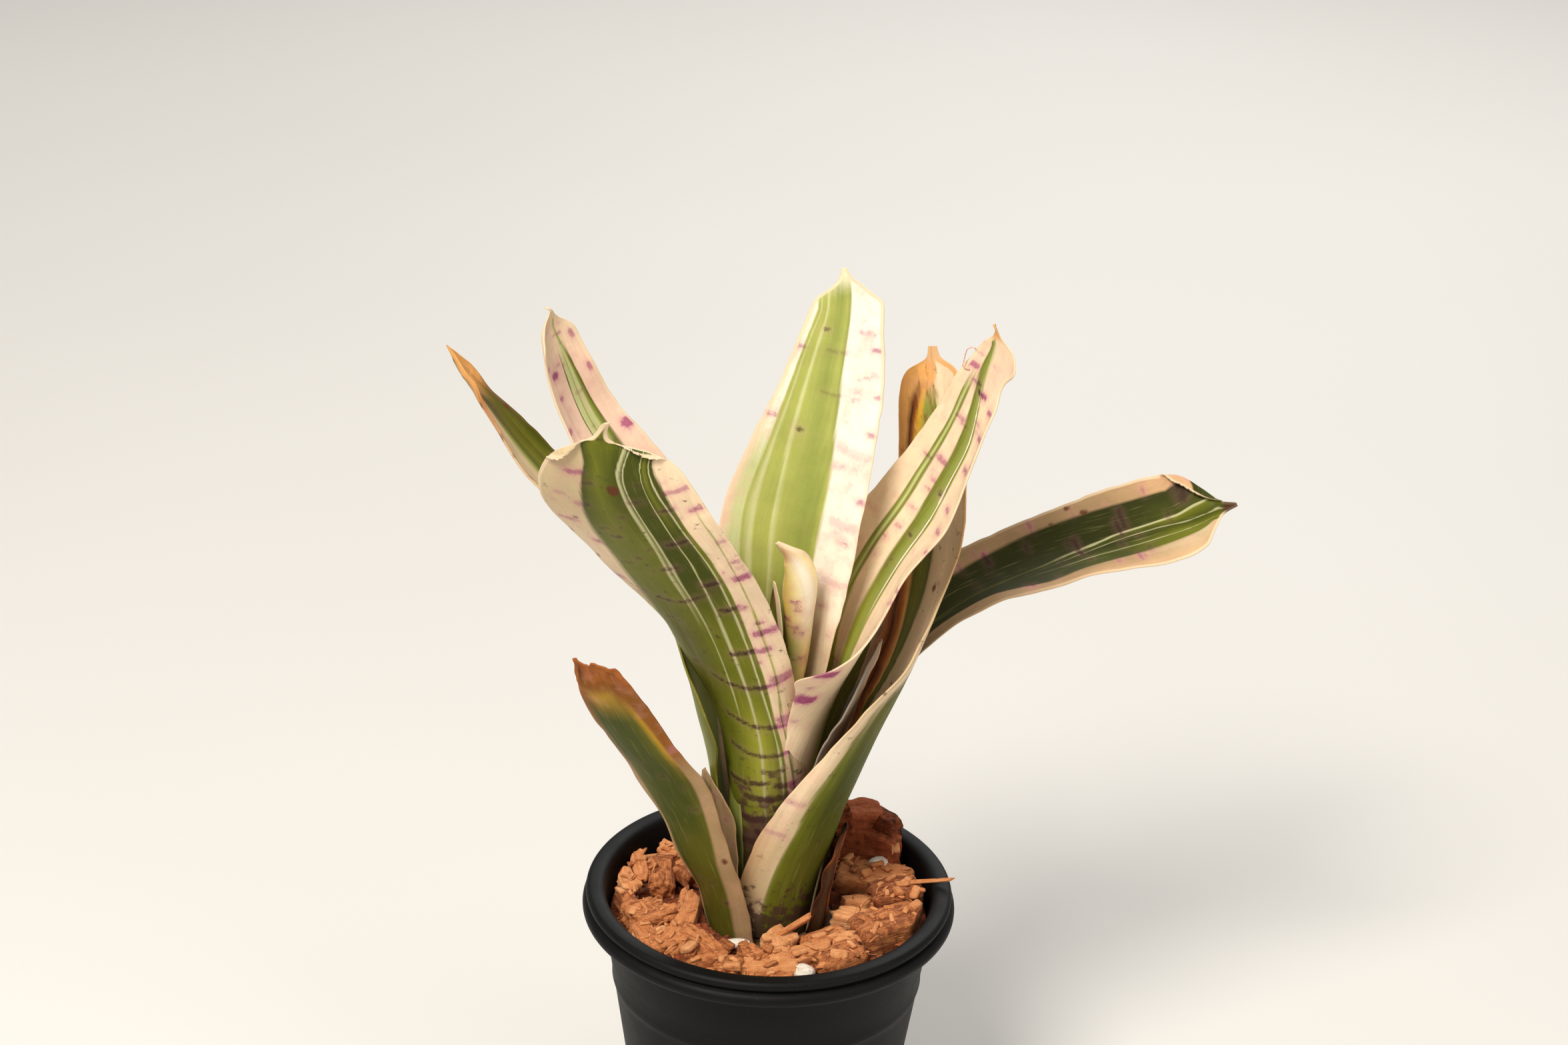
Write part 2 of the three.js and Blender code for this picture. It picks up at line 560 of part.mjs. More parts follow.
function grains(grow) {
  return Manifold.union(PERLITE.map((row) => grainSolid(row, grow)));
}

// Room that the leaf bases take up among the chips
function plantRoom() {
  const core = lathe([[0, 70], [PLANT_CORE_RADIUS, 70], [PLANT_CORE_RADIUS, PLANT_CORE_TOP],
    [0, PLANT_CORE_TOP]], 24);
  const feet = OUTER_LEAVES.map((name) => leafSolid(LEAVES[name], rowsFor(name), columnsFor(name), CARVE_GAP)
    .trimByPlane([0, 0, -1], -PLANT_CORE_TOP));
  return Manifold.union([core, ...feet]);
}

// Light chips on a thin bed of crumbs, holding together as one body
function buildLightChips() {
  const random = makeRandom(3);
  const rows = [...LIGHT_CHIPS, ...scatterRows(CHIP_COUNT, 23, SOIL_LEVEL + 3)];
  const bedTop = SOIL_LEVEL + CLEARANCE + CRUMB_BED;
  const bed = lathe([[0, SOIL_LEVEL], [LIP_INNER_RADIUS - 3, SOIL_LEVEL], [LIP_INNER_RADIUS - 3, bedTop],
    [0, bedTop]], 32);
  const pile = chipPile(rows, 7, 0).add(bed).intersect(chipRoom()).add(chipFrom(STICK, random, 0));
  const taken = Manifold.union([darkPile(CLEARANCE), plantRoom(), grains(CLEARANCE)]);
  return largest(pile.trimByPlane([0, 0, 1], SOIL_LEVEL + CLEARANCE).subtract(taken));
}

// Named mesh from a solid
function meshFrom(name, solid, colour, roughness) {
  const raw = solid.getMesh();
  const geometry = new THREE.BufferGeometry();
  const positions = [];
  for (let i = 0; i < raw.numVert; i += 1) {
    positions.push(...raw.vertProperties.slice(i * raw.numProp, i * raw.numProp + 3));
  }
  geometry.setAttribute("position", new THREE.Float32BufferAttribute(positions, 3));
  geometry.setIndex(Array.from(raw.triVerts));
  geometry.computeVertexNormals();
  const material = new THREE.MeshStandardMaterial({ color: colour, roughness, metalness: 0 });
  const mesh = new THREE.Mesh(geometry, material);
  mesh.name = name;
  return mesh;
}

function buildPlant() {
  const group = new THREE.Group();
  group.name = "potted_neoregelia";
  const leaves = buildLeaves();
  group.add(meshFrom("pot", buildPot(), 0x1b1b1d, 0.45));
  group.add(meshFrom("medium", buildMedium(), 0x8a4526, 0.95));
  group.add(meshFrom("chips", buildLightChips(), 0xc98250, 0.9));
  group.add(meshFrom("stem", buildStem(), 0x6b5a3a, 0.9));
  PERLITE.forEach((row, k) => {
    group.add(meshFrom(`perlite_${k + 1}`, grainSolid(row, 0), 0xe8e2d6, 0.85));
  });
  for (const [name, solid] of Object.entries(leaves)) {
    group.add(meshFrom(name, solid, LEAVES[name].colour, 0.5));
  }
  return group;
}

export default buildPlant();
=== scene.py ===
# Potted neoregelia: a variegated rosette in a black nursery pot filled with husk chips.
# Lengths in the tables are millimetres in the frame of the model; meshes are made in metres.
import math

import bmesh
import bpy
import numpy as np
from mathutils import Matrix, Vector
from mathutils.bvhtree import BVHTree


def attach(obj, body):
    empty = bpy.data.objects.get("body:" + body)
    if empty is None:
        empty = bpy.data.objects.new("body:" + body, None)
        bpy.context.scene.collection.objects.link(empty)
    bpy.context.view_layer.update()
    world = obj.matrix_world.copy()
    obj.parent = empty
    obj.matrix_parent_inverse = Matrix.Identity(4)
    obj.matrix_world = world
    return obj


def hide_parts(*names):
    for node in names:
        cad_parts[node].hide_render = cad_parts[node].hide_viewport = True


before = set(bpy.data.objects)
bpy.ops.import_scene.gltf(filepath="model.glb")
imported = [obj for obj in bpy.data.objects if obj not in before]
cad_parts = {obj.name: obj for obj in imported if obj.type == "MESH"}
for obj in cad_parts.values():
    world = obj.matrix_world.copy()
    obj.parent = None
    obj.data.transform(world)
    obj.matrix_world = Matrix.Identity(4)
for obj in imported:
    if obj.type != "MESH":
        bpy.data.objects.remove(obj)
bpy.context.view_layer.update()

MM = 0.001
BODY = "root"

# Pot, medium and stem
POT_SIDES = 192
BASE_RADIUS = 37
SHOULDER_RADIUS = 49.6
SHOULDER_HEIGHT = 86
LIP_INNER_RADIUS = 49.2
RIM_RADIUS = 55
WALL = 1.2
POT_FLOOR = 1.6
DRAIN_HOLES = 6
DRAIN_RADIUS = 4
DRAIN_RING = 25
SOIL_LEVEL = 84
STEM_RADIUS = 19.5
STEM_ROOT_RADIUS = 7
STEM_SHOULDER = 78
STEM_BOTTOM = 62
CLEARANCE = 0.3

# Leaf blades
LEAF_THICKNESS = 1.0
EDGE_THICKNESS = 0.65
LEAF_START = 0.02
LEAF_ROWS = 270
LEAF_COLUMNS = 42
SMALL_LEAVES = ("leaf_h", "leaf_i", "leaf_j")
EDGE_CROWDING = 1.7
LIP_RADIUS = 0.9
LIP_EASE = 7
ROWS_BELOW_TIP = 0.72
OUTLINE_STEPS = 700
END_STEPS = 61
BATCH = 1500
ARC_HALF_LENGTH = 10
ARC_SAG = 0.024
MARK_SAG = 0.018
UNROLLED = [[0, 0], [1, 0]]
STRAIGHT_END = [(-1, 1), (1, 1)]
MIDLINE = [(0.5, [(0, 0), (1, 0)])]
TUBE_GUIDE = (0.31, 0.17, 0.93)

# Stripe zones melt into each other over this share of the length, less so near the tip
ZONE_BLUR = 0.06
TIP_BLUR = 0.025
TIP_START = 0.86

FLOOR_REACH = 6000

# Camera fitted to the ellipse of the pot's rim
CAMERA_PLACE = (0.0009, -0.8962, 0.6483)
CAMERA_PITCH = -25.77
CAMERA_ROLL = 1.89
CAMERA_LENS = 80
SENSOR_WIDTH = 36


def table(text):
    """Rows of numbers from a text with commas between rows"""
    return [[float(word) for word in row.split()] for row in text.split(",")]


# Display colours by name, each with its greenness from 0 to 1, which chooses the colour of a mark on it
PALETTE = {
    "cream": ("#e6cca8", 0),
    "ivory": ("#f1e4cf", 0),
    "blush": ("#e6c3a9", 0),
    "dull_cream": ("#c9b28a", 0),
    "tan": ("#cda476", 0.2),
    "mint": ("#c2c48a", 0.3),
    "line": ("#b9b586", 0.6),
    "lime": ("#94932f", 1),
    "green": ("#696c1c", 1),
    "leek": ("#8d9445", 0.9),
    # deep: on leaves a, e and h it is green in painted shade
    "deep": ("#434811", 1),
    "olive": ("#5a5719", 1),
    "dusk": ("#54412a", 1),
    "yellow": ("#d9a93a", 0.3),
    "husk": ("#d79f5c", 0.2),
    "rust": ("#9c5a2a", 0.5),
    "bark": ("#42200f", 1),
    "smoke": ("#8d8070", 0.4),
    "butter": ("#eed993", 0.1),
    "straw": ("#dfc25c", 0.3),
    "apple": ("#a3a653", 0.9),
    "pear": ("#bfbf82", 0.6),
    # shade: painted shade, the green of leaf e in the shadow of leaves c and d
    "shade": ("#33350f", 1),
    # sand: on leaf e it is the cream margin in painted shade
    "sand": ("#a98a62", 0.1),
    "amber": ("#ad8526", 0.3),
    "ochre": ("#84501c", 0.2),
    "moss": ("#5f5a32", 0.9),
}

# Each leaf: spine is the midrib on the outer face, from the foot up. The other tables have a share of the
# length first in each row: face the compass angle that the outer face looks to, roll the turn about the
# midrib, width the arc width and wrap the arc angle of the cross-section, and reach how far the sides of
# negative and of positive u go round the same arc. Wave is (height, waves along the leaf, phase).
LEAVES = {
    "leaf_a": dict(
        spine=table("-4.8 -10.2 80, -5.2 -10.6 109, -6.5 -11 130, -9 -12 152, -14.5 -14.5 173, "
                    "-22.5 -18.5 193.5, -32 -22.5 210.5, -41.5 -27.5 225.5, -47.5 -32 239.5, "
                    "-50 -35.5 253, -49 -37 262"),
        face=table("0 245, .3 245, .5 252, .75 260, 1 265"),
        width=table("0 39, .25 39.5, .42 39, .58 43, .7 46, .79 47, .88 44, .92 37, .942 27, .96 12, "
                    ".972 4.4, 1 1.4"),
        wrap=table("0 200, .25 190, .42 120, .6 63, .72 46, .83 42, .93 48, 1 40"),
        reach=table("0 1 1, .55 1 1, .62 1.02 1.08, .7 1.04 1.22, .77 1.04 1.28, .83 1.03 1.2, "
                    ".88 1 1.05, .93 1 .92, 1 1 .9"),
        wave=[0.5, 5, 0.3]),
    "leaf_b": dict(
        spine=table(".3 7.2 80, .4 7.3 120, .7 8 160, 1.4 9.5 184, 3.5 13 207, 8.5 19 226, 13.5 26.5 244, "
                    "16.5 34.5 261, 17 38.5 271, 16 41 278"),
        face=table("0 88, 1 80"),
        width=table("0 24, .3 28, .48 38, .6 43, .71 39, .81 32, .9 25, .955 18, .975 9, .985 4, 1 1.4"),
        wrap=table("0 190, .3 180, .5 90, .7 50, .9 35, 1 30"),
        reach=table("0 1 1, .9 1 1, .935 1 1.07, .955 1 1.2, .966 1 1.05, .975 1 1, 1 1 1"),
        wave=[0.4, 4, 1.1]),
    "leaf_c": dict(
        spine=table("8.9 2.2 80, 10.2 2.1 125, 14.5 3 150, 19 4.6 168, 24 7 184, 32 9.5 200.5, "
                    "43.5 12 218.5, 53 13.5 238.5, 58.5 14.5 257.5, 60 15 265, 59 15.5 273"),
        face=table("0 15, .86 13, .95 24, 1 26"),
        roll=table("0 0, .35 0, .5 12, .8 13, 1 5"),
        width=table("0 33.5, .2 37, .35 43, .5 41, .6 40, .75 36, .87 27, .93 20, .965 13, .98 4, 1 1.4"),
        wrap=table("0 210, .2 205, .35 185, .47 100, .6 60, .86 60, .94 34, 1 30"),
        reach=table("0 1 .8, .25 1 .85, .33 1 1, .38 1 1.15, .42 1 1.42, .445 1 1.68, .47 1 1.4, "
                    ".5 1 1.18, .54 1 1.05, .6 1 1, .88 1 .95, .91 1 .72, .93 .98 .9, .952 .95 1.65, "
                    ".965 .95 1.4, .98 1 1, 1 1 1"),
        wave=[0.5, 5, 2.0]),
    "leaf_d": dict(
        spine=table("14.1 -.9 80, 15.5 -1.8 101, 20 -1.5 118, 25.5 -.5 134, 31 2.5 149, 36.5 7.5 162.5, "
                    "41.5 13.5 176.5, 45 20.5 192.5, 46.5 27.5 210, 46 33.5 229, 44 38 245, 42.5 41 254.5"),
        face=table("0 356, .3 358, .6 370, 1 375"),
        roll=table("0 0, .5 0, .8 12, 1 15"),
        width=table("0 53, .12 46, .25 38, .4 34, .6 34, .75 32, .88 28, .94 24, .965 18, .98 6, "
                    ".988 3.4, 1 2.6"),
        wrap=table("0 215, .12 170, .25 120, .4 85, .6 65, 1 50"),
        reach=table("0 1 1.3, .12 1 1.42, .21 1 1.57, .3 1 1.64, .38 1 1.56, .45 1 1.4, .52 1 1.1, "
                    ".6 1 1, 1 1 1"),
        wave=[0.6, 4, 0.7]),
    "leaf_e": dict(
        spine=table("12.5 9.4 80, 13.4 10.3 104, 15.8 13 124, 20.5 17 141, 28.5 22 156, 39 28 168, "
                    "53.5 34.5 176.5, 71 42 182, 90 49.5 186, 109 55.5 189.5, 125 60 193.5, 138.5 63 196"),
        face=table("0 37, .4 37, .6 25, 1 22"),
        roll=table("0 0, .5 12, .8 20, 1 20"),
        width=table("0 45, .2 36, .4 27, .55 26, .68 28.5, .8 32, .88 33, .93 28, .955 16, .975 6, 1 1.4"),
        wrap=table("0 165, .2 125, .4 85, .7 60, 1 50"),
        wave=[0.4, 5, 0.2]),
    "leaf_f": dict(
        spine=table("-10.8 6.2 80, -10.8 6.6 115, -11.5 8 145, -15 11 162, -23 16 180, -34 22.5 198, "
                    "-46.5 29.5 214, -58 35.5 228, -65 38.5 243, -69.5 40 256, -71 40.5 263"),
        face=table("0 150, 1 150"),
        width=table("0 37, .25 33, .45 34, .65 34, .8 29, .9 22.5, .94 19.5, .965 15, .98 7, .988 3.2, "
                    "1 1.6"),
        wrap=table("0 170, .25 150, .45 90, .7 60, 1 60"),
        reach=table("0 1 1, .8 1 1, .88 1.06 1, .93 1.28 1, .955 1.6 1.05, .972 1.5 1, .982 1 1, 1 1 1"),
        wave=[0.6, 6, 1.6]),
    "leaf_g": dict(
        spine=table("-13.6 3.6 80, -14.6 3.8 110, -17.6 4.5 132, -19.7 6 147, -23.5 9.5 163.5, "
                    "-30.6 13 179, -45.2 17 194, -61.5 21 208, -75.5 25 221.5, -86.5 27.5 235.5, "
                    "-94.5 29.5 247, -98.5 30 254"),
        face=table("0 165, 1 162"),
        roll=table("0 0, .6 0, .8 8, 1 10"),
        width=table("0 28, .18 27, .26 23, .33 28, .45 32, .6 31, .75 27, .86 20, .91 14, .95 9, .98 5.5, "
                    "1 2.4"),
        wrap=table("0 115, .25 95, .45 80, .7 70, 1 60"),
        reach=table("0 1 1, .24 1 1, .28 1.12 1, .32 1.4 1, .37 1.4 1, .43 .95 1, .5 .55 1, .58 .58 1, "
                    ".68 .85 1, .78 1 1, 1 1 1"),
        wave=[0.5, 5, 0.9]),
    "leaf_h": dict(
        spine=table("-11.4 -14.3 80, -15 -17.5 99, -20 -21.5 115, -24.5 -25 129.5, -30.5 -29 144.5, "
                    "-38 -33 157.5, -44 -37 170.5, -48.5 -40.5 181, -53 -43.5 192"),
        face=table("0 235, .3 250, .6 258, 1 262"),
        width=table("0 17, .2 18, .4 20, .55 24, .68 22, .8 20, .93 16, 1 9"),
        wrap=table("0 60, .3 50, 1 40"),
        wave=[0.3, 4, 0.4]),
    "leaf_i": dict(
        spine=table("3.4 -2.4 80, 4.4 -2.4 150, 7.6 -2.4 170, 8.4 -3.2 184, 8 -4 195, 4.4 -4.8 205, "
                    "-1 -5 211.5"),
        face=table("0 320, 1 300"),
        width=table("0 9, .5 9, .66 12, .78 16, .86 18, .92 13, .965 6, 1 1.4"),
        wrap=table("0 230, .6 230, .9 190, 1 90"),
        wave=[0, 1, 0]),
    "leaf_j": dict(
        spine=table("-1.6 -1 80, -1.6 -1 150, -1.6 -1 175, -1.6 -1 188, -1.6 -1 197"),
        face=table("0 200, 1 200"),
        width=table("0 7, .5 9, .85 11, .95 7, 1 1.6"),
        wrap=table("0 110, .6 100, 1 60"),
        wave=[0, 1, 0]),
    "sheath_k": dict(
        spine=table("-16.1 -3.6 80, -16.9 -4 100, -18.2 -5 120, -20 -6.4 137"),
        face=table("0 192, .5 200, 1 205"),
        width=table("0 22, .4 25, .75 23, .9 16, 1 3"),
        wrap=table("0 76, .75 66, 1 40"),
        wave=[0.3, 2, 0]),
    "sheath_l": dict(
        spine=table("17 -4.6 80, 17.8 -4.4 92, 20 -4 106, 23 -3.2 118"),
        face=table("0 348, 1 350"),
        width=table("0 24, .4 21, .7 16, .9 10, 1 4"),
        wrap=table("0 80, .6 66, 1 40"),
        wave=[0.5, 4, 0.5]),
    "sheath_papery": dict(
        spine=table("11.7 -4.3 80, 12.4 -4.6 112, 16.5 -5.6 135, 22 -6.2 153, 26.5 -6 168, 30.5 -5.4 181"),
        face=table("0 340, 1 345"),
        width=table("0 21, .5 24, .75 22, .9 14, 1 4"),
        wrap=table("0 96, .5 90, 1 40"),
        wave=[0.4, 3, 0.2]),
}

# Looks of each leaf, t along it from 0 to 1 and u across it from -1 to 1.
# curves: stripe boundaries, each (place in the stripe order from 0 to 1, rows of t and u that it passes),
#   and outer_curves those of the outer face where they differ
# zones: stripe colours from the foot up, each (t from, colours by place in the stripe order)
# dashes: cross marks in rows of t, u, half length, half thickness and strength
# spots: rust specks in rows of t, u and radius
# specks: faint marks scattered over (t from, t to, u from, u to, count)
# waste: where the blade is dry, (t from, t to, u from, u to), crumple and scorch how much so
# lips: margins rolled over, (t from, t to, side, depth, degrees), degrees negative to the outer face
# bends: pushes of the last part, (t from, across, inwards); curl: more wrap towards the tip
# end: share of the length that each u reaches; plum: (full up to t, gone at t) of the mottled foot
# wash: pink in the cream; tip: colour of the rim near the tip, from rim_from on; mucro: colour of the
#   last point; rims: width of the rim on the inner and on the outer face
LOOKS = {
    "leaf_a": dict(
        slot="leaf_banded",
        curves=[
            (0.10, table(".2 -.72, .39 -.66, .46 -.73, .6 -.78, .66 -.83, .74 -.88")),
            (0.22, table(".2 -.62, .34 -.59, .4 -.55, .47 -.57, .55 -.58, .61 -.61, .67 -.65, .76 -.65, "
                         ".87 -.66, .92 -.74, .95 -1.6")),
            (0.26, table(".2 -.54, .35 -.53, .43 -.49, .5 -.5, .6 -.54, .69 -.59, .8 -.59, .9 -.6, "
                         ".95 -1.4")),
            (0.38, table(".2 -.22, .44 -.27, .57 -.27, .675 -.37, .78 -.43, .89 -.47, .95 -1.1")),
            (0.52, table(".2 0, .57 -.06, .68 -.1, .775 -.2, .9 -.24, .95 -.8")),
            (0.57, table(".2 .08, .68 0, .775 -.14, .9 -.18, .95 -.6")),
            (0.7, table(".2 .4, .8 .16, .95 .1")),
            (0.86, table(".2 .85, .6 .84, .75 .6, .87 .41, .95 .35")),
        ],
        # From t 0.62 on, the greens turn deep and the margin of the last zone turns dull cream. This is
        # painted shade: above that point the leaf leans forward and its outer face looks down, away from the
        # light.
        zones=[
            (0, "0 dusk .12 sand .2 leek .3 olive .5 green .8 olive 1 dusk"),
            (0.24, "0 tan .08 dull_cream .1 olive .12 dull_cream .2 dull_cream .225 green .25 green "
                   ".262 line .272 green .36 lime .38 line .395 lime .6 green .83 green .87 lime 1 mint"),
            (0.42, "0 cream .085 cream .1 lime .115 cream .208 cream .224 green .25 green .257 line "
                   ".268 line .275 green .36 green .375 line .385 line .4 green .51 green .52 line "
                   ".53 green .75 olive .84 green .87 lime 1 mint"),
            (0.62, "0 cream .09 cream .1 leek .11 cream .208 cream .224 green .25 green .257 line "
                   ".262 line .268 deep .37 deep .376 line .38 line .386 deep .51 deep .518 line "
                   ".526 line .54 green .564 line .57 line .58 green .7 green .82 green .86 cream "
                   "1 cream"),
            (0.8, "0 cream .208 cream .224 deep .25 deep .257 line .266 line .275 deep .33 green "
                  ".37 deep .376 line .38 line .386 deep .51 deep .518 line .522 line .53 deep "
                  ".566 line .57 line .58 deep .7 green .835 deep .86 dull_cream 1 dull_cream"),
        ],
        dashes=table(".909 .46 2.4 .7 .75, .89 .27 1.6 .4 .6, .865 .71 1.6 .6 .35, .848 .43 2 .8 .45, "
                     ".806 .75 3.4 .5 .6, .762 .6 1.8 .6 .7, .672 .9 2 .7 .7, .849 -.25 1.8 .4 .7, "
                     ".823 -.57 2.2 .5 .8, .823 .02 1.2 .35 .6, .782 .23 2 .4 .7, .8 .29 1 .35 .5, "
                     ".752 -.43 3.4 .55 1, .749 -.02 1.2 .35 .6, .719 .42 2.2 .4 .6, .732 .2 1 .35 .6, "
                     ".705 -.1 2.6 .45 .8, .702 .14 1 .35 .5, .661 -.47 2.8 .6 .95, .636 .1 9 .4 .85, "
                     ".653 .59 1.2 .35 .5, .609 -.51 3 .6 1, .596 .51 1.2 .35 .5, .857 -.84 3.4 .9 .6, "
                     ".809 -.96 3 .7 .8, .73 -.93 1.2 .6 .5, .689 -.95 1.6 .7 .6, .656 -.93 3 1 .9, "
                     ".606 -.66 1.6 .6 .6, .556 -.86 3.6 .9 .9, .574 -.8 1 .4 .7, .527 -.4 3.2 .7 .95, "
                     ".526 -.7 1.8 .8 .8, .459 -.55 15 .6 .95, .468 -.84 2.6 1.3 .7, .386 -.62 16 .6 .95, "
                     ".396 -.78 2.6 1.3 .7, .338 -.4 12.5 .55 .85, .345 -.8 2.2 1.1 .6, .31 -.4 3 .6 .8, "
                     ".288 .02 6.5 .7 .9, .285 -.58 3 .9 .8, .262 -.25 7 1 .85, .245 -.6 4 1.1 .8, "
                     ".225 0 7 1.1 .8, .2 -.4 6 1.2 .8, .185 .1 6 1.2 .7"),
        spots=table(".876 -.05 1.8, .77 .96 .8, .714 .93 .9, .857 -.66 .6, .575 -.78 .7"),
        specks=(0.3, 0.93, -1, 1, 26),
        plum=(0.16, 0.3),
        lips=[(0.915, 0.976, 1, 4.2, -160), (0.915, 0.976, -1, 3.2, -165)],
        bends=[(0.965, -1.2, -1.0)],
        wash=0.1,
        rims=(6.5, 1.2)),
    "leaf_b": dict(
        slot="leaf_variegated",
        curves=[
            (0.12, table(".4 -.68, .62 -.72, .68 -.75, .74 -.75, .8 -.81, .88 -.82, .94 -.8")),
            (0.2, table(".4 -.45, .63 -.57, .7 -.64, .81 -.74, .88 -.76, .94 -.7")),
            (0.34, table(".4 -.2, .64 -.3, .71 -.4, .79 -.5, .85 -.54, .94 -.52")),
            (0.62, table(".4 .36, .63 .38, .71 .35, .77 .25, .83 .16, .88 .12, .94 .12")),
        ],
        zones=[
            (0, "0 dull_cream .12 leek .6 green .64 leek .68 dull_cream 1 cream"),
            (0.5, "0 blush .07 mint .12 mint .135 apple .18 pear .2 pear .22 apple .32 apple .34 pear "
                  ".37 apple .5 leek .58 leek .61 apple .64 ivory 1 ivory"),
            (0.74, "0 cream .1 ivory .13 apple .18 apple .2 pear .225 apple .31 apple .335 pear "
                   ".345 pear .365 apple .5 leek .58 apple .61 leek .635 ivory 1 ivory"),
            (0.975, "0 mint 1 ivory"),
        ],
        dashes=table(".88 -.95 2 .5 .6, .77 -.93 2 .6 .6, .89 .88 1.5 .4 .7, .78 .92 1.5 .5 .7, "
                     ".83 .94 1.2 .4 .6, .69 .97 1.5 .6 .7, .88 -.07 3 .4 .3, .82 -.01 3 .4 .3, "
                     ".91 -.42 .6 .4 .8, .76 -.35 .7 .5 .8, .75 .7 4 1.2 .2, .65 .75 4 1.3 .25, "
                     ".56 .78 4 1 .25"),
        specks=(0.45, 0.95, 0.3, 1, 22),
        wash=0.32,
        rims=(1.0, 1.0)),
    "leaf_c": dict(
        slot="leaf_pale",
        curves=[
            (0.22, table(".2 -.25, .42 -.29, .46 -.38, .53 -.5, .59 -.52, .66 -.53, .74 -.6, .82 -.62, "
                         ".88 -.68, .93 -.66, .965 -.5")),
            (0.30, table(".2 -.1, .42 -.13, .46 -.22, .53 -.34, .59 -.36, .66 -.37, .74 -.44, .82 -.47, "
                         ".88 -.5, .93 -.5, .965 -.4")),
            (0.45, table(".2 .05, .52 -.01, .59 .01, .66 -.01, .73 -.11, .8 -.14, .88 -.3, .93 -.42, "
                         ".965 -.35")),
            (0.62, table(".2 .32, .54 .33, .61 .39, .69 .38, .76 .28, .82 .28, .88 .02, .91 -.1, "
                         ".95 -.2, .97 -.15")),
        ],
        zones=[
            (0, "0 dusk .2 olive .45 moss .6 olive .64 apple .68 apple .74 dull_cream 1 cream"),
            (0.42, "0 cream .19 cream .215 lime .25 leek .29 lime .315 cream .42 cream .46 lime "
                   ".57 leek .61 lime .635 cream 1 cream"),
            (0.55, "0 cream .205 cream .22 green .24 leek .255 mint .27 leek .285 green .31 cream "
                   ".43 cream .455 green .56 leek .583 leek .588 ivory .598 ivory .603 green .62 lime "
                   ".635 cream 1 cream"),
            (0.9, "0 blush .3 cream .42 green .6 leek .66 cream 1 blush"),
        ],
        dashes=table(".92 -.82 2.5 .8 .8, .9 -.38 2 .5 .7, .89 0 2.2 .7 1, .88 .7 1.5 .6 .8, "
                     ".84 .66 1.5 .8 .8, .84 -.38 1.6 .6 .7, .77 -.27 2 .8 .7, .74 -.21 1.2 .5 .6, "
                     ".79 .56 1.5 .7 .8, .73 .62 1.3 .6 .8, .7 .8 1.3 .6 .8, .67 .97 1 .6 .8, "
                     ".6 .95 1.2 .6 .8, .58 .97 1 .5 .8, .53 -.82 2.5 .6 .7, .49 -.81 3 .9 1, "
                     ".76 -.59 1.5 .5 .5, .46 .93 3 1.2 1, .41 .9 2.5 1.4 1, .735 .15 .8 .6 .9, "
                     ".66 .12 .8 .4 .8"),
        spots=[(0.53, -0.60, 1.6)],
        specks=(0.35, 0.97, -1, 1, 40),
        bends=[(0.965, 1.4, 1.0)],
        mucro="husk",
        wash=0.25),
    "leaf_d": dict(
        slot="leaf_aged",
        curves=[
            (0.3, table(".36 -.68, .41 -.6, .47 -.45, .52 -.42, .6 -.45, .75 -.6, .84 -.66, .89 -.55, "
                        ".93 -.33, .95 .05")),
            (0.55, table(".36 -.58, .41 -.48, .47 -.29, .52 -.18, .6 0, .67 .02, .91 .04, .94 .08")),
        ],
        outer_curves=[
            (0.3, table(".1 -.6, .5 -.5, .84 -.66, .93 -.33, .95 .05")),
            (0.55, table(".125 .74, .22 .75, .27 .8, .34 .82, .43 .88, .5 .7, .6 .4, .67 .1, .91 .04")),
        ],
        zones=[
            (0, "0 dusk .3 olive .5 olive .54 green .57 dull_cream 1 tan"),
            (0.2, "0 bark .25 rust .3 green .5 deep .54 green .57 dull_cream .8 cream 1 cream"),
            (0.38, "0 smoke .1 rust .16 bark .24 rust .29 husk .33 olive .42 green .52 olive "
                   ".56 dull_cream .75 cream 1 dull_cream"),
            (0.72, "0 husk .12 husk .2 bark .25 rust .29 yellow .33 yellow .37 leek .5 leek .53 green "
                   ".56 mint .6 cream 1 cream"),
            (0.93, "0 husk .3 husk .5 tan .6 cream 1 cream"),
        ],
        dashes=table(".2 .9 3 .8 .35, .26 .92 3 .8 .3"),
        spots=[(0.62, 0.3, 1.2), (0.7, -0.8, 1)],
        specks=(0.5, 0.9, -1, 1, 10),
        plum=(0.03, 0.09),
        waste=[(0.85, 1.1, -1.1, 0.2), (0.36, 0.95, -1.1, -0.5)],
        crumple=0.4,
        mucro="tan",
        tip="husk"),
    "leaf_e": dict(
        slot="leaf_banded",
        curves=[
            (0.15, table(".3 -.4, .56 -.51, .62 -.6, .67 -.66, .72 -.7, .9 -.66, .94 -.7")),
            (0.5, table(".3 .38, .62 .3, .65 .28, .69 .23, .73 .12, .78 .04, .82 -.06, .92 -.1, .96 -.24")),
            (0.58, table(".3 .45, .7 .3, .82 .06, .87 .05, .92 .12, .97 .05")),
            (0.7, table(".3 .5, .7 .42, .86 .31, .92 .33, .96 .4")),
            (0.85, table(".3 .6, .58 .58, .63 .68, .68 .8, .73 .7, .79 .6, .84 .53, .89 .5, .93 .5, "
                         ".96 .6")),
        ],
        # The zones of this leaf are darker than its own colours and are painted shade. The sand cream, the
        # shade and deep greens and the dusk and olive foot stand for the shadow that leaves c and d cast on
        # it, darkest towards the foot.
        zones=[
            (0, "0 dusk .12 olive .5 dusk .8 olive .9 dusk 1 dusk"),
            (0.45, "0 sand .13 sand .165 shade .48 shade .5 olive .515 shade .84 shade .86 sand 1 sand"),
            (0.72, "0 sand .135 sand .162 shade .48 shade .492 line .508 line .52 deep .572 deep "
                   ".58 line .588 shade .695 deep .7 line .71 deep .835 deep .86 sand 1 tan"),
            (0.86, "0 tan .135 tan .162 shade .48 deep .492 line .508 line .52 green .572 deep .58 line "
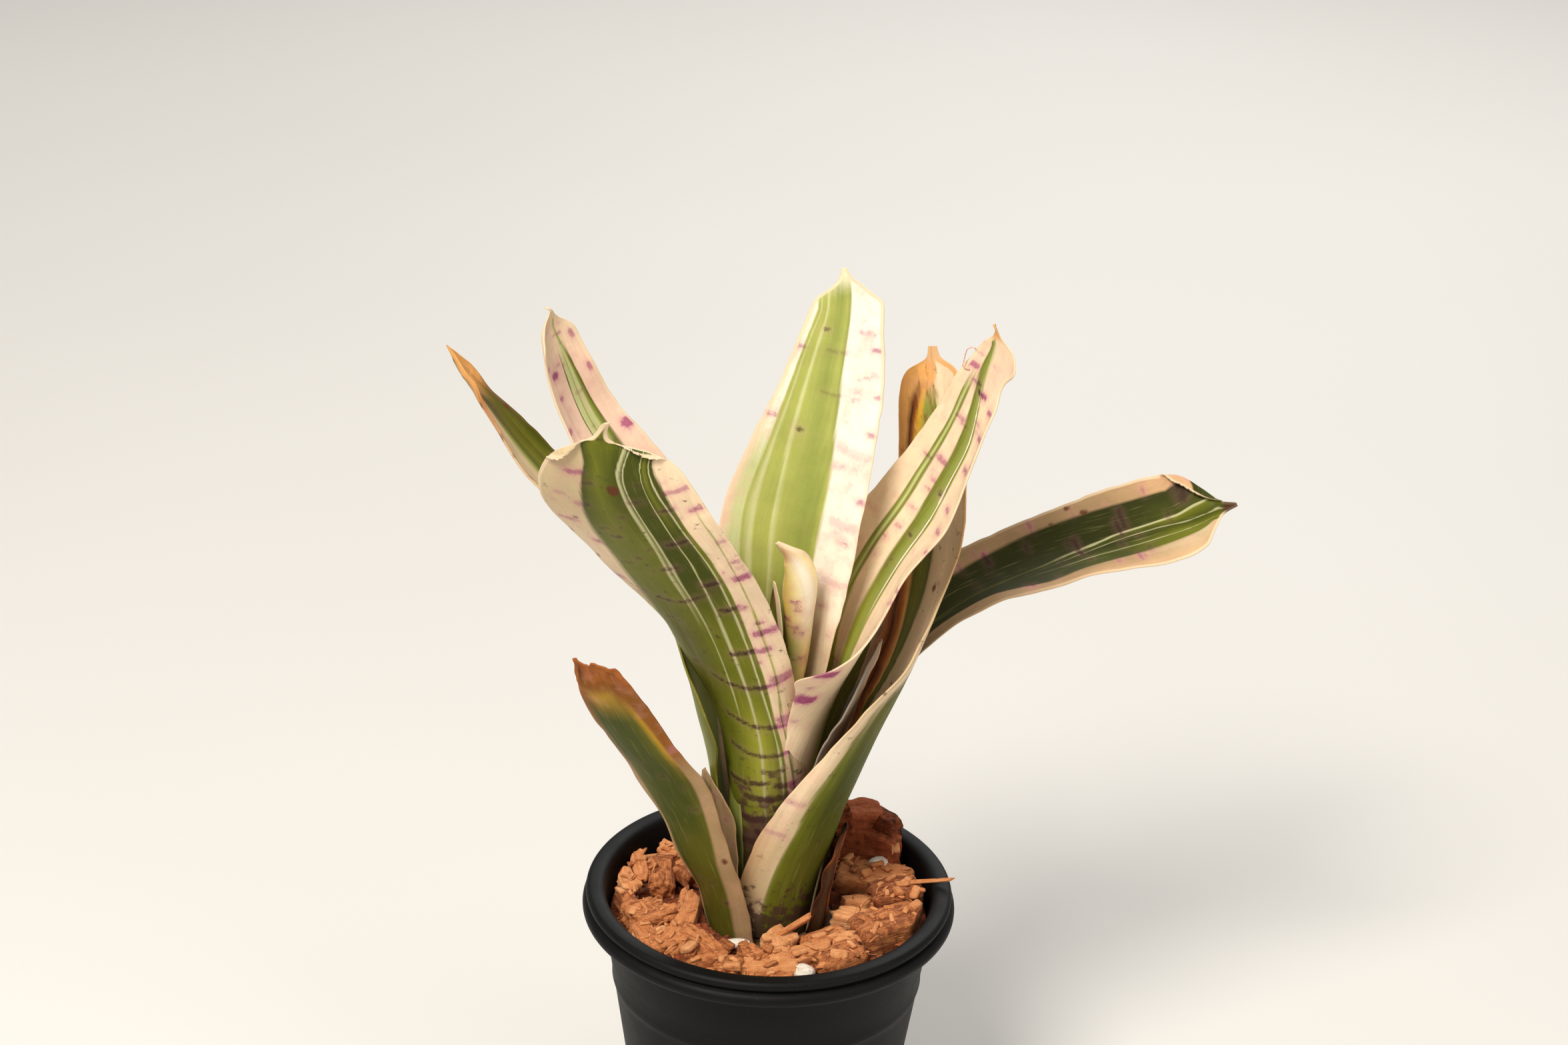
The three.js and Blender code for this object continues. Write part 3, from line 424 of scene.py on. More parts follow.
                   ".588 deep .695 green .7 line .71 green .835 green .86 dull_cream 1 tan"),
        ],
        dashes=table(".83 -.35 3 .6 .8, .75 -.01 3 .6 .9, .92 -.45 2.5 .5 .8, .82 -.2 2.5 .5 .8, "
                     ".62 -.51 2 .5 .8, .83 .64 1.5 .5 .6, .85 .5 1.3 .4 .5"),
        spots=[(0.78, -0.71, 1.0), (0.76, -0.91, 0.8), (0.73, -0.71, 0.7)],
        specks=(0.45, 0.93, -1, 1, 26),
        lips=[(0.9, 0.99, -1, 5.5, 150)],
        mucro="bark",
        rims=(1.0, 14.0)),
    "leaf_f": dict(
        slot="leaf_pale",
        curves=[
            (0.36, table(".4 -.2, .78 -.08, .86 -.04, .93 .06, .97 .04")),
            (0.5, table(".4 0, .81 .12, .86 .17, .92 .22, .96 .15")),
            (0.7, table(".4 .46, .78 .46, .86 .43, .92 .36, .96 .25")),
        ],
        zones=[
            (0, "0 leek .3 green .6 leek 1 dull_cream"),
            (0.4, "0 blush .3 blush .35 mint .37 olive .4 pear .5 leek .62 green .68 olive .72 blush "
                  "1 blush"),
            (0.78, "0 blush .345 blush .358 olive .366 olive .38 mint .48 pear .5 leek .515 pear "
                   ".6 mint .64 leek .69 green .715 olive .73 blush 1 blush"),
            (0.93, "0 cream .45 cream .55 mint .63 leek .66 apple .7 mint .74 cream 1 cream"),
        ],
        dashes=table(".903 -.51 1.5 1.1 1, .87 -.57 1 .6 .7, .822 -.9 1 .8 .8, .921 -.86 .7 .5 .8, "
                     ".945 .9 .6 1.3 .7, .888 .95 .6 1.4 .7, .784 .92 1.2 1.6 .9"),
        specks=(0.4, 0.97, -1, 1, 44),
        bends=[(0.965, 3.4, 2.2)],
        wash=0.35),
    "leaf_g": dict(
        slot="leaf_aged",
        curves=[
            (0.3, table(".2 -.5, .4 -.3, .55 -.1, .7 -.13, .85 -.05, .93 0")),
            (0.62, table(".2 .3, .33 .36, .45 .6, .6 .7, .93 .7")),
        ],
        zones=[
            (0, "0 dusk .3 olive .56 leek .64 blush 1 blush"),
            (0.2, "0 green .3 apple .45 lime .58 leek .64 blush 1 cream"),
            (0.5, "0 dull_cream .25 dull_cream .32 leek .4 olive .5 green .6 olive .7 green 1 deep"),
            (0.86, "0 rust .06 husk .26 dull_cream .31 olive .4 dusk .6 olive 1 dusk"),
            (0.92, "0 rust .12 sand .35 tan .55 husk .75 rust 1 bark"),
            (0.985, "0 bark 1 bark"),
        ],
        dashes=table(".36 .8 3 1 .5, .3 .7 3 1 .6, .26 .75 2 .8 .5"),
        spots=table(".854 -.9 1.2, .822 -.92 .9, .905 -.8 .9, .875 .9 .9, .78 -.93 .7"),
        specks=(0.4, 0.9, -1, 1, 12),
        waste=[(0.92, 1.1, -1.1, 1.1)],
        crumple=0.5,
        tip="husk",
        rim_from=0.9,
        curl=[[0, 0], [0.9, 0], [0.95, 90], [1, 170]]),
    "leaf_h": dict(
        slot="leaf_green",
        curves=[
            (0.24, table(".1 -.38, .26 -.47, .36 -.58, .46 -.64, .55 -.68, .63 -.72, .71 -.7, .81 -.6, "
                         ".9 -.45")),
            (0.9, table(".1 .8, .9 .85")),
        ],
        # The deep greens and the sand margin are partly painted shade, because this low leaf lies dim under
        # the others. The ochre, amber and rust are its own dry colours.
        zones=[
            (0, "0 sand .2 sand .26 olive .6 olive .92 deep .97 sand 1 sand"),
            (0.4, "0 sand .2 sand .25 olive .4 deep .8 deep .93 olive .97 sand 1 sand"),
            (0.62, "0 ochre .18 ochre .25 amber .34 olive .5 deep .86 deep .93 olive .97 ochre 1 sand"),
            (0.84, "0 ochre .25 ochre .42 amber .55 amber .7 amber .9 ochre 1 ochre"),
            (0.895, "0 rust .3 ochre .6 ochre .8 ochre 1 ochre"),
            (0.935, "0 bark .3 rust .6 rust .8 bark 1 tan"),
        ],
        spots=[(0.3, -0.8, 1.0)],
        specks=(0.1, 0.8, -1, 1, 10),
        waste=[(0.9, 1.1, -1.1, 1.1)],
        crumple=0.75,
        tip="rust",
        rim_from=0.86,
        end=[(-1, 0.955), (-0.6, 0.975), (-0.2, 0.99), (0.1, 0.975), (0.5, 0.985), (0.8, 1), (1, 1)]),
    "leaf_i": dict(
        slot="leaf_heart",
        zones=[
            (0, "0 leek .5 leek 1 leek"),
            (0.6, "0 lime .2 leek .5 butter .8 leek 1 lime"),
            # The ivory in the middle of this zone is a painted highlight along the rounded blade.
            (0.75, "0 mint .12 butter .45 ivory .7 butter .9 straw 1 straw"),
            (0.95, "0 cream .5 tan 1 husk"),
        ],
        dashes=table(".84 .39 1 .6 .8, .82 .33 .6 .5 .7, .79 .85 1.2 .4 .9, .775 .55 1.4 .4 .9, "
                     ".76 .3 1.2 .4 .9, .7 .1 .8 .5 .6"),
        specks=(0.6, 0.9, -1, 1, 8)),
    "leaf_j": dict(
        slot="leaf_green",
        zones=[(0, "0 olive .5 olive 1 green"), (0.7, "0 olive .4 green .7 olive 1 leek"),
               (0.95, "0 rust .5 dusk 1 rust")],
        dashes=table(".8 .1 1.5 1.2 .9, .72 -.3 1.2 .8 .7"),
        specks=(0.5, 0.9, -1, 1, 6)),
    "sheath_k": dict(
        slot="sheath_dry",
        curves=[(0.1, table("0 -.85, 1 -.7")), (0.9, table("0 .85, 1 .7"))],
        zones=[
            (0, "0 rust .08 dusk .4 moss .9 dusk 1 rust"),
            (0.4, "0 sand .05 sand .1 moss .5 olive .9 moss .95 sand 1 sand"),
            (0.93, "0 sand .5 sand 1 sand"),
        ],
        specks=(0.2, 0.9, -1, 1, 8),
        waste=[(0.8, 1.1, -1.1, 1.1)],
        crumple=0.2,
        tip="sand"),
    "sheath_l": dict(
        slot="sheath_dry",
        zones=[(0, "0 bark .2 dusk .35 bark .5 rust .6 bark .8 dusk 1 bark"),
               (0.7, "0 rust .3 bark .5 rust .8 bark 1 rust")],
        specks=(0.2, 0.9, -1, 1, 4),
        waste=[(0.3, 1.1, -1.1, 1.1)],
        crumple=0.22,
        tip="bark"),
    "sheath_papery": dict(
        slot="sheath_papery",
        zones=[(0, "0 dusk .5 smoke 1 dusk"), (0.5, "0 smoke .3 olive .5 smoke .7 dusk 1 smoke"),
               (0.85, "0 smoke .5 tan 1 smoke")],
        dashes=table(".5 .3 2 .8 .5"),
        specks=(0.2, 0.9, -1, 1, 4),
        waste=[(0.35, 1.1, -1.1, 1.1)],
        crumple=0.25,
        scorch=0.35,
        tip="smoke"),
}

# Chips that are placed one by one: x, y, height of centre, length, width, thickness, turn, tip
LIGHT_CHIPS = [
    [-39.6, 15.5, 89, 5, 15, 5, 12, 8],
    [-32.6, 9.7, 89, 8, 13, 7, 4, 4],
    [-43, 8, 88, 6, 12, 6, 20, 0],
    [-24.5, -7.1, 88, 7, 16, 6, -8, 6],
    [-36, -10.8, 88.5, 12, 11, 6, 30, 0],
    [-27.6, -25, 88, 9, 12, 6, -30, 6],
    [-18, -32, 88, 12, 8, 5, 24, 0],
    [31.5, 14, 88, 22, 12, 8, -12, 4],
    [37, -14, 89, 22, 14, 9, 28, -4],
    [22, -30, 88, 15, 10, 7, 40, 6],
    [0.5, -34, 88, 18, 12, 6, 8, 3],
    [-9, -38, 87, 13, 9, 5, -14, 0],
    [27, -8, 88, 14, 8, 6, -20, 0],
    [38, 3, 90, 15, 12, 8, 20, 0],
    [3.5, -22, 88.5, 10, 7, 6, 50, 10],
    [7.2, -19.5, 92.5, 14, 3, 1.8, 27, -50],
]

# Parts of the large dark chunk behind the plant, and the thin stick that reaches over the rim
CHUNK_PARTS = [
    [32, 27, 92.5, 17, 12, 17, -20, 0],
    [27, 29, 100.5, 11, 9, 12, 15, 10],
    [35, 27, 98.5, 11, 9, 14, -45, -12],
]
STICK = [46.2, 4, 95, 18, 1.2, 1.2, -17, -41]
CHIP_COUNT = 41
DARK_CHIP_COUNT = 18
LIGHT_SEEDS = (23, 7)
DARK_SEEDS = (11, 5)
CHIP_SHARPNESS = 8
SPLINTERS = 520
SPLINTER_SEED = 61
SPLINTER_TOP = 97
SHREDS = 26
SHRED_POINTS = 12
CHIP_RING_INNER = 23
CHIP_RING_WIDTH = 20

# Perlite grains: x, y, height of centre, length, width, thickness, turn
PERLITE = [
    [-9.5, -22, 87.3, 9, 3.6, 3, 8],
    [10.8, -38, 88.6, 7, 5.5, 5, -10],
    [33, 18.5, 92, 6.5, 5, 4.5, 30],
    [-21, 30, 89, 5.5, 4.5, 4, 70],
    [6, 34, 89, 6, 5, 4, 15],
]


def make_random(seed):
    """Seeded draws in [0, 1), the same as those that placed the chips"""
    state = [seed & 0xFFFFFFFF]

    def draw():
        state[0] = (state[0] + 0x6D2B79F5) & 0xFFFFFFFF
        t = state[0]
        t = ((t ^ (t >> 15)) * (t | 1)) & 0xFFFFFFFF
        t ^= (t + (((t ^ (t >> 7)) * (t | 61)) & 0xFFFFFFFF)) & 0xFFFFFFFF
        return ((t ^ (t >> 14)) & 0xFFFFFFFF) / 4294967296

    return draw


def lattice(i, j, k, seed):
    """Repeatable value in [0, 1) for each whole-number point"""
    n = (i * 374761393 + j * 668265263 + k * 1103515245 + seed * 1274126177) & 0xFFFFFFFF
    n = ((n ^ (n >> 13)) * 1274126177) & 0xFFFFFFFF
    n = ((n ^ (n >> 15)) * 668265263) & 0xFFFFFFFF
    return ((n ^ (n >> 16)) & 0xFFFFFF) / 0x1000000


def noise(points, seed=0):
    """Smooth noise in [-1, 1] at points (..., 3)"""
    points = np.asarray(points, float)
    base = np.floor(points)
    f = points - base
    f = f * f * (3 - 2 * f)
    b = base.astype(np.int64)
    total = 0
    for corner in np.ndindex(2, 2, 2):
        weight = 1
        for axis in range(3):
            weight = weight * (f[..., axis] if corner[axis] else 1 - f[..., axis])
        i, j, k = [b[..., axis] + corner[axis] for axis in range(3)]
        total = total + weight * lattice(i, j, k, seed)
    return 2 * total - 1


def fractal(points, seed=0, octaves=3):
    """Noise with finer and weaker layers added"""
    total, gain = 0, 1
    for k in range(octaves):
        total = total + gain * noise(np.asarray(points) * 2.03**k, seed + 17 * k)
        gain *= 0.5
    return total


def smooth(x, low, high):
    """Smooth step from 0 at low to 1 at high"""
    s = np.clip((x - low) / (high - low), 0, 1)
    return s * s * (3 - 2 * s)


def srgb(text):
    """Linear colour with alpha from a display colour such as #aabbcc"""
    parts = [int(text[k:k + 2], 16) / 255 for k in (1, 3, 5)]
    return [p / 12.92 if p <= 0.04045 else ((p + 0.055) / 1.055) ** 2.4 for p in parts] + [1]


# Meshes

def mesh_object(name, vertices, faces, soft=True):
    """Object from millimetre vertices, its faces turned outwards"""
    vertices = np.asarray(vertices, float)
    corners = np.array([(f[0], f[k], f[k + 1]) for f in faces for k in range(1, len(f) - 1)])
    a, b, c = vertices[corners].transpose(1, 0, 2)
    if (a * np.cross(b, c)).sum() < 0:
        faces = [tuple(reversed(face)) for face in faces]
    mesh = bpy.data.meshes.new(name)
    mesh.from_pydata((vertices * MM).tolist(), [], faces)
    mesh.validate()
    mesh.polygons.foreach_set("use_smooth", [soft] * len(mesh.polygons))
    mesh.update()
    piece = bpy.data.objects.new(name, mesh)
    bpy.context.scene.collection.objects.link(piece)
    return piece


def merged_object(name, parts):
    """One object from several lists of vertices and faces"""
    vertices, faces, base = [], [], 0
    for part_vertices, part_faces in parts:
        vertices.append(part_vertices)
        faces += [tuple(v + base for v in face) for face in part_faces]
        base += len(part_vertices)
    return mesh_object(name, np.concatenate(vertices), faces)


def ring_quads(rings, sides):
    """Quads between rings of points that follow each other"""
    faces = []
    for base in range(0, (rings - 1) * sides, sides):
        for k in range(sides):
            n = (k + 1) % sides
            faces.append((base + k, base + n, base + sides + n, base + sides + k))
    return faces


def tube(path, radii, sides):
    """Vertices and faces of a closed tube along points, with a radius at each"""
    path = np.asarray(path, float)
    along = np.gradient(path, axis=0)
    along /= np.linalg.norm(along, axis=1)[:, None]
    angles = np.linspace(0, 2 * math.pi, sides, endpoint=False)
    rings = []
    for at, way, radius in zip(path, along, np.broadcast_to(radii, len(path))):
        a = np.cross(way, TUBE_GUIDE)
        a /= np.linalg.norm(a)
        b = np.cross(way, a)
        rings.append(at + radius * (np.cos(angles)[:, None] * a + np.sin(angles)[:, None] * b))
    last = (len(path) - 1) * sides
    ends = [tuple(range(sides))[::-1], tuple(range(last, last + sides))]
    return np.concatenate(rings), ring_quads(len(path), sides) + ends


def set_vector(piece, name, values):
    """Writes a vector for each vertex under a name that materials read"""
    attribute = piece.data.attributes.new(name, "FLOAT_VECTOR", "POINT")
    attribute.data.foreach_set("vector", np.asarray(values, np.float32).ravel())


def finish_piece(piece, slot, material, *nodes):
    """Gives a piece its material, its place on the body and the nodes that it stands for"""
    piece.data.materials.clear()
    piece.data.materials.append(material)
    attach(piece, BODY)
    if nodes:
        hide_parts(*nodes)
    return piece


# Leaf geometry

def keyed(keys, t):
    """Cubic through keys [position, value...], with slopes from the neighbouring keys"""
    keys = np.asarray(keys, float)
    x, y = keys[:, 0], keys[:, 1:]
    slope = np.empty_like(y)
    slope[1:-1] = (y[2:] - y[:-2]) / (x[2:] - x[:-2])[:, None]
    slope[0] = (y[1] - y[0]) / (x[1] - x[0])
    slope[-1] = (y[-1] - y[-2]) / (x[-1] - x[-2])
    t = np.clip(np.asarray(t, float).ravel(), x[0], x[-1])
    i = np.clip(np.searchsorted(x, t, side="right") - 1, 0, len(x) - 2)
    h = (x[i + 1] - x[i])[:, None]
    s = (t - x[i])[:, None] / h
    return (y[i] * (2 * s**3 - 3 * s**2 + 1) + slope[i] * h * (s**3 - 2 * s**2 + s)
            + y[i + 1] * (3 * s**2 - 2 * s**3) + slope[i + 1] * h * (s**3 - s**2))


def spine_keys(points):
    """Spine points keyed by their share of the whole length, and the length"""
    p = np.asarray(points, float)
    along = np.r_[0, np.cumsum(np.linalg.norm(np.diff(p, axis=0), axis=1))]
    return np.column_stack([along / along[-1], p]), along[-1]


def leaf_frame(leaf, t):
    """Spine point, inward normal and the direction across the blade at each t"""
    keys, _ = spine_keys(leaf["spine"])
    step = 1e-3
    at = keyed(keys, t)
    along = keyed(keys, np.minimum(1, t + step)) - keyed(keys, np.maximum(0, t - step))
    along /= np.linalg.norm(along, axis=1)[:, None]
    compass = np.radians(keyed(leaf["face"], t)[:, 0])
    inward = np.column_stack([-np.cos(compass), -np.sin(compass), np.ones_like(compass)])
    inward -= along * (inward * along).sum(1)[:, None]
    inward /= np.linalg.norm(inward, axis=1)[:, None]
    roll = np.radians(keyed(leaf.get("roll", UNROLLED), t)[:, 0])[:, None]
    inward = inward * np.cos(roll) + np.cross(along, inward) * np.sin(roll)
    return at, inward, np.cross(along, inward)


def waste_mask(look, t, u):
    """How dry the blade is at t and u, from 0 to 1"""
    mask = np.zeros_like(t)
    for t0, t1, u0, u1 in look.get("waste", []):
        part = smooth(t, t0 - 0.02, t0 + 0.03) * smooth(-t, -t1, -t1 + 0.02)
        part = part * smooth(u, u0 - 0.05, u0 + 0.1) * smooth(-u, -u1 - 0.05, -u1 + 0.1)
        mask = np.maximum(mask, part)
    return mask


def half_width(leaf, t, u):
    """Millimetres over the blade from the midrib to the edge on the side of u"""
    t, u = np.broadcast_arrays(np.asarray(t, float), np.asarray(u, float))
    half = keyed(leaf["width"], t)[:, 0].reshape(t.shape) / 2
    if "reach" in leaf:
        low, high = keyed(leaf["reach"], t).T.reshape(2, *t.shape)
        half = half * np.where(u > 0, high, low)
    return half


def outline_distance(leaf, look, across, along):
    """Distance over the flat blade to its outline, and the direction away from the outline"""
    _, length = spine_keys(leaf["spine"])
    share = np.linspace(LEAF_START, 1, OUTLINE_STEPS)
    ends = look.get("end", STRAIGHT_END)
    low, high = ends[0][1], ends[-1][1]
    left = np.column_stack([-half_width(leaf, share * low, -1), share * low * length])
    right = np.column_stack([half_width(leaf, share * high, 1), share * high * length])[::-1]
    u = np.linspace(-1, 1, END_STEPS)[1:-1]
    t = np.interp(u, [e[0] for e in ends], [e[1] for e in ends])
    line = np.concatenate([left, np.column_stack([u * half_width(leaf, t, u), t * length]), right])
    way = np.gradient(line, axis=0)
    for _ in range(4):
        way[1:-1] = (way[:-2] + 2 * way[1:-1] + way[2:]) / 4
    normal = np.column_stack([way[:, 1], -way[:, 0]])
    normal /= np.linalg.norm(normal, axis=1)[:, None] + 1e-9
    flat = np.column_stack([across.ravel(), along.ravel()])
    nearest = np.empty(len(flat), int)
    for k in range(0, len(flat), BATCH):
        part = flat[k:k + BATCH, None, :] - line[None]
        nearest[k:k + BATCH] = (part ** 2).sum(2).argmin(1)
    gap = np.linalg.norm(flat - line[nearest], axis=1).reshape(across.shape)
    return gap, normal[nearest].reshape(*across.shape, 2)


def blade_relief(look, t, u, across, along, seed):
    """Displacement of the blade towards its inner face: channels, ripples and crumples"""
    flat = np.zeros_like(across)
    channels = 0.16 * noise(np.stack([across / 3.2, along / 90, flat], -1), seed)
    channels = channels + 0.05 * noise(np.stack([across / 1.5, along / 60, flat], -1), seed + 1)
    swell = 0.5 * noise(np.stack([across / 22, along / 26, flat], -1), seed + 2)
    ripple = 0.45 * np.abs(u)**4 * noise(np.stack([np.sign(u) * 9, along / 9, flat], -1), seed + 3)
    dry = waste_mask(look, t, u) * look.get("crumple", 0.5)
    crumple = dry * (1.1 * fractal(np.stack([across / 5, along / 7, flat], -1), seed + 4)
                     + 0.3 * noise(np.stack([across / 0.9, along / 14, flat], -1), seed + 5))
    foot = smooth(t, 0.05, 0.2)
    tip = smooth(-t, -1.0, -0.93)
    return (channels + swell * foot + ripple * foot) * tip + crumple * foot


def roll_lips(look, t, u, across, along, gap, inward):
    """Rolls the margin over along its outline: the new flat place and the height towards the inner face"""
    rise = np.zeros_like(t)
    for start, stop, side, depth, angle in look.get("lips", []):
        fade = smooth(t, start, start + 0.03) * smooth(-t, -stop, -stop + 0.034)
        near = fade * smooth(side * u, -0.15, 0.1)
        depth_here = depth * near
        turn = math.radians(abs(angle)) * smooth(near, 0, 0.3)
        past = np.maximum(depth_here - gap, 0)
        bend = np.minimum(past / LIP_RADIUS, turn)
        rest = np.maximum(past - LIP_RADIUS * turn, 0)
        out = LIP_RADIUS * np.sin(bend) + rest * np.cos(bend)
        up = LIP_RADIUS * (1 - np.cos(bend)) + rest * np.sin(bend)
        spread = np.maximum(depth_here - LIP_RADIUS, 0) * np.exp(-np.maximum(gap - depth_here, 0) / LIP_EASE)
        shift = past - out - spread
        across = across + inward[..., 0] * shift
        along = along + inward[..., 1] * shift
        rise = rise + math.copysign(1, angle) * up
    return across, along, rise


def leaf_surface(leaf, look, rows, columns, seed):
    """Vertices of a closed blade, row by row, each row a loop round the cross-section"""
    u_line = np.linspace(-1, 1, columns + 1)
    u_line = np.sign(u_line) * (1 - (1 - np.abs(u_line)) ** EDGE_CROWDING)
    loop_u = np.r_[u_line, 1, u_line[::-1], -1]
    side = np.r_[np.zeros(columns + 1), 0.5, np.ones(columns + 1), 0.5]
    lower = int(rows * ROWS_BELOW_TIP)
    share = np.r_[np.linspace(LEAF_START, TIP_START, lower), np.linspace(TIP_START, 1, rows - lower + 1)[1:]]
    ends = look.get("end", STRAIGHT_END)
    end = np.interp(loop_u, [e[0] for e in ends], [e[1] for e in ends])
    t = share[:, None] * (1 - smooth(share, 0.75, 1)[:, None] * (1 - end[None, :]))
    u = np.broadcast_to(loop_u, t.shape)
    side = np.broadcast_to(side, t.shape)
    _, length = spine_keys(leaf["spine"])
    across = u * half_width(leaf, t, u)
    along = t * length
    gap, inward = outline_distance(leaf, look, across, along)
    size, turns, phase = leaf["wave"]
    wave = size * u**2 * np.sin((t * turns + phase + u * 0.15) * 2 * math.pi) * np.minimum(1, 3 * t)
    relief = wave + blade_relief(look, t, u, across, along, seed)
    thick = EDGE_THICKNESS + (LEAF_THICKNESS - EDGE_THICKNESS) * (1 - u * u)
    thick = thick * (1 - 0.45 * smooth(t, 0.9, 1))
    bulge = np.where(side == 0.5, EDGE_THICKNESS * 0.35, 0)
    ragged = noise(np.stack([np.sign(u) * 5, along / 3.5, u * 0], -1), seed + 7) * np.abs(u) ** 6
    edge_noise = (0.22 - 0.12 * smooth(t, 0.8, 0.9)) * ragged
    flat_x, flat_y, rise = roll_lips(look, t, u, across, along, gap, inward)
    flat_x = flat_x + np.sign(u) * (bulge + edge_noise)
    for start, sideways, inwards in look.get("bends", []):
        beyond = np.maximum(t - start, 0) / (1 - start)
        flat_x = flat_x + sideways * beyond**2
        rise = rise + inwards * beyond**2

    place = np.clip(flat_y / length, 0, 1)
    wrap = keyed(leaf["wrap"], place)[:, 0].reshape(t.shape)
    if "curl" in look:
        wrap = wrap + keyed(look["curl"], place)[:, 0].reshape(t.shape)
    radius = keyed(leaf["width"], place)[:, 0].reshape(t.shape) / np.radians(wrap)
    inner = radius - thick * side - relief - rise
    angle = flat_x / radius
    at, inward_axis, across_axis = leaf_frame(leaf, place.ravel())
    lift = (radius - inner * np.cos(angle)).ravel()[:, None]
    shift = (inner * np.sin(angle)).ravel()[:, None]
    points = at + inward_axis * lift + across_axis * shift
    return points, t, u, side, across, along, gap


def loop_faces(rows, loop):
    """Quads of a tube of loops, closed at both ends by strips between its two sheets"""
    faces = ring_quads(rows, loop)
    sheet = (loop - 2) // 2
    for row, order in ((0, 1), (rows - 1, -1)):
        base = row * loop
        for k in range(sheet - 1):
            quad = (base + k, base + 2 * sheet - k, base + 2 * sheet - 1 - k, base + k + 1)
            faces.append(quad[::order])
        faces.append((base + sheet - 1, base + sheet + 1, base + sheet)[::order])
        faces.append((base, base + loop - 1, base + 2 * sheet)[::order])
    return faces


def stripe_order(leaf, curves, t, across):
    """Place in the stripe order of each point: 0 at one edge, 1 at the other, fixed along each curve"""
    edges = [-half_width(leaf, t, -1)]
    for _, keys in curves:
        key_t, key_u = np.array(keys).T
        line = keyed(np.column_stack([key_t, key_u * half_width(leaf, key_t, key_u)]), t)
        edges.append(line[:, 0].reshape(t.shape))
    edges.append(half_width(leaf, t, 1))
    places = [0, *[place for place, _ in curves], 1]
    order = np.zeros_like(t)
    for k in range(len(places) - 1):
        low, high = edges[k], edges[k + 1]
        share = np.clip((across - low) / np.maximum(high - low, 1e-3), 0, 1)
        order = np.where(across >= low, places[k] + share * (places[k + 1] - places[k]), order)
    return order


def speck_rows(look, seed):
    """Small faint cross marks scattered over part of a leaf"""
    t0, t1, u0, u1, count = look["specks"]
    random = make_random(seed * 7 + 3)
    rows = []
    for _ in range(count):
        t = t0 + (t1 - t0) * random()
        u = u0 + (u1 - u0) * random()
        rows.append((t, u * 0.97, 0.3 + 1.5 * random() ** 2, 0.14 + 0.26 * random(), 0.2 + 0.5 * random()))
    return rows


def mark_fields(leaf, look, t, across, along, seed):
    """Distance to the nearest cross mark, that mark's strength, and distance to the nearest rust spot"""
    _, length = spine_keys(leaf["spine"])
    marks = np.full(t.shape, 9.0)
    strength = np.zeros(t.shape)
    for mark_t, mark_u, half, thick, power in look.get("dashes", []) + speck_rows(look, seed):
        side = across - mark_u * half_width(leaf, mark_t, mark_u)
        sag = (ARC_SAG if half > ARC_HALF_LENGTH else MARK_SAG) * side * side
        gap = np.hypot(np.maximum(np.abs(side) - half, 0), along - mark_t * length - sag) - thick
        nearer = gap < marks
        marks = np.where(nearer, gap, marks)
        strength = np.where(nearer, power, strength)
    rust = np.full(t.shape, 9.0)
    for mark_t, mark_u, radius in look.get("spots", []):
        middle = mark_u * half_width(leaf, mark_t, mark_u)
        rust = np.minimum(rust, np.hypot(across - middle, (along - mark_t * length) * 0.8) - radius)
    return marks, strength, rust


def build_leaf(name, seed):
    """One leaf blade with the fields that its material reads"""
    leaf, look = LEAVES[name], LOOKS[name]
    small = name.startswith("sheath") or name in SMALL_LEAVES
    rows = LEAF_ROWS // 2 if small else LEAF_ROWS
    points, t, u, side, across, along, edge = leaf_surface(leaf, look, rows, LEAF_COLUMNS, seed)
    loop = t.shape[1]
    piece = mesh_object("blade_" + name.split("_", 1)[1], points, loop_faces(rows, loop))
    order = stripe_order(leaf, look.get("curves", MIDLINE), t, across)
    if "outer_curves" in look:
        order = np.where(side < 0.5, stripe_order(leaf, look["outer_curves"], t, across), order)
    marks, strength, rust = mark_fields(leaf, look, t, across, along, seed)
    set_vector(piece, "leaf", np.stack([u, t, side], -1))
    set_vector(piece, "span", np.stack([across, along, edge], -1))
    set_vector(piece, "marks", np.stack([marks, strength, rust], -1))
    set_vector(piece, "order", np.stack([order, waste_mask(look, t, u), side], -1))
    finish_piece(piece, look["slot"], leaf_material(name, look, seed), name)
    return piece


# Materials

class Value:
    """Output of a node, with arithmetic that adds Math nodes"""

    def __init__(self, graph, socket):
        self.graph, self.socket = graph, socket

    def __add__(self, other):
        return self.graph.math("ADD", self, other)

    def __sub__(self, other):
        return self.graph.math("SUBTRACT", self, other)

    def __rsub__(self, other):
        return self.graph.math("SUBTRACT", other, self)

    def __mul__(self, other):
        return self.graph.math("MULTIPLY", self, other)

    def __truediv__(self, other):
        return self.graph.math("DIVIDE", self, other)

    __radd__, __rmul__ = __add__, __mul__


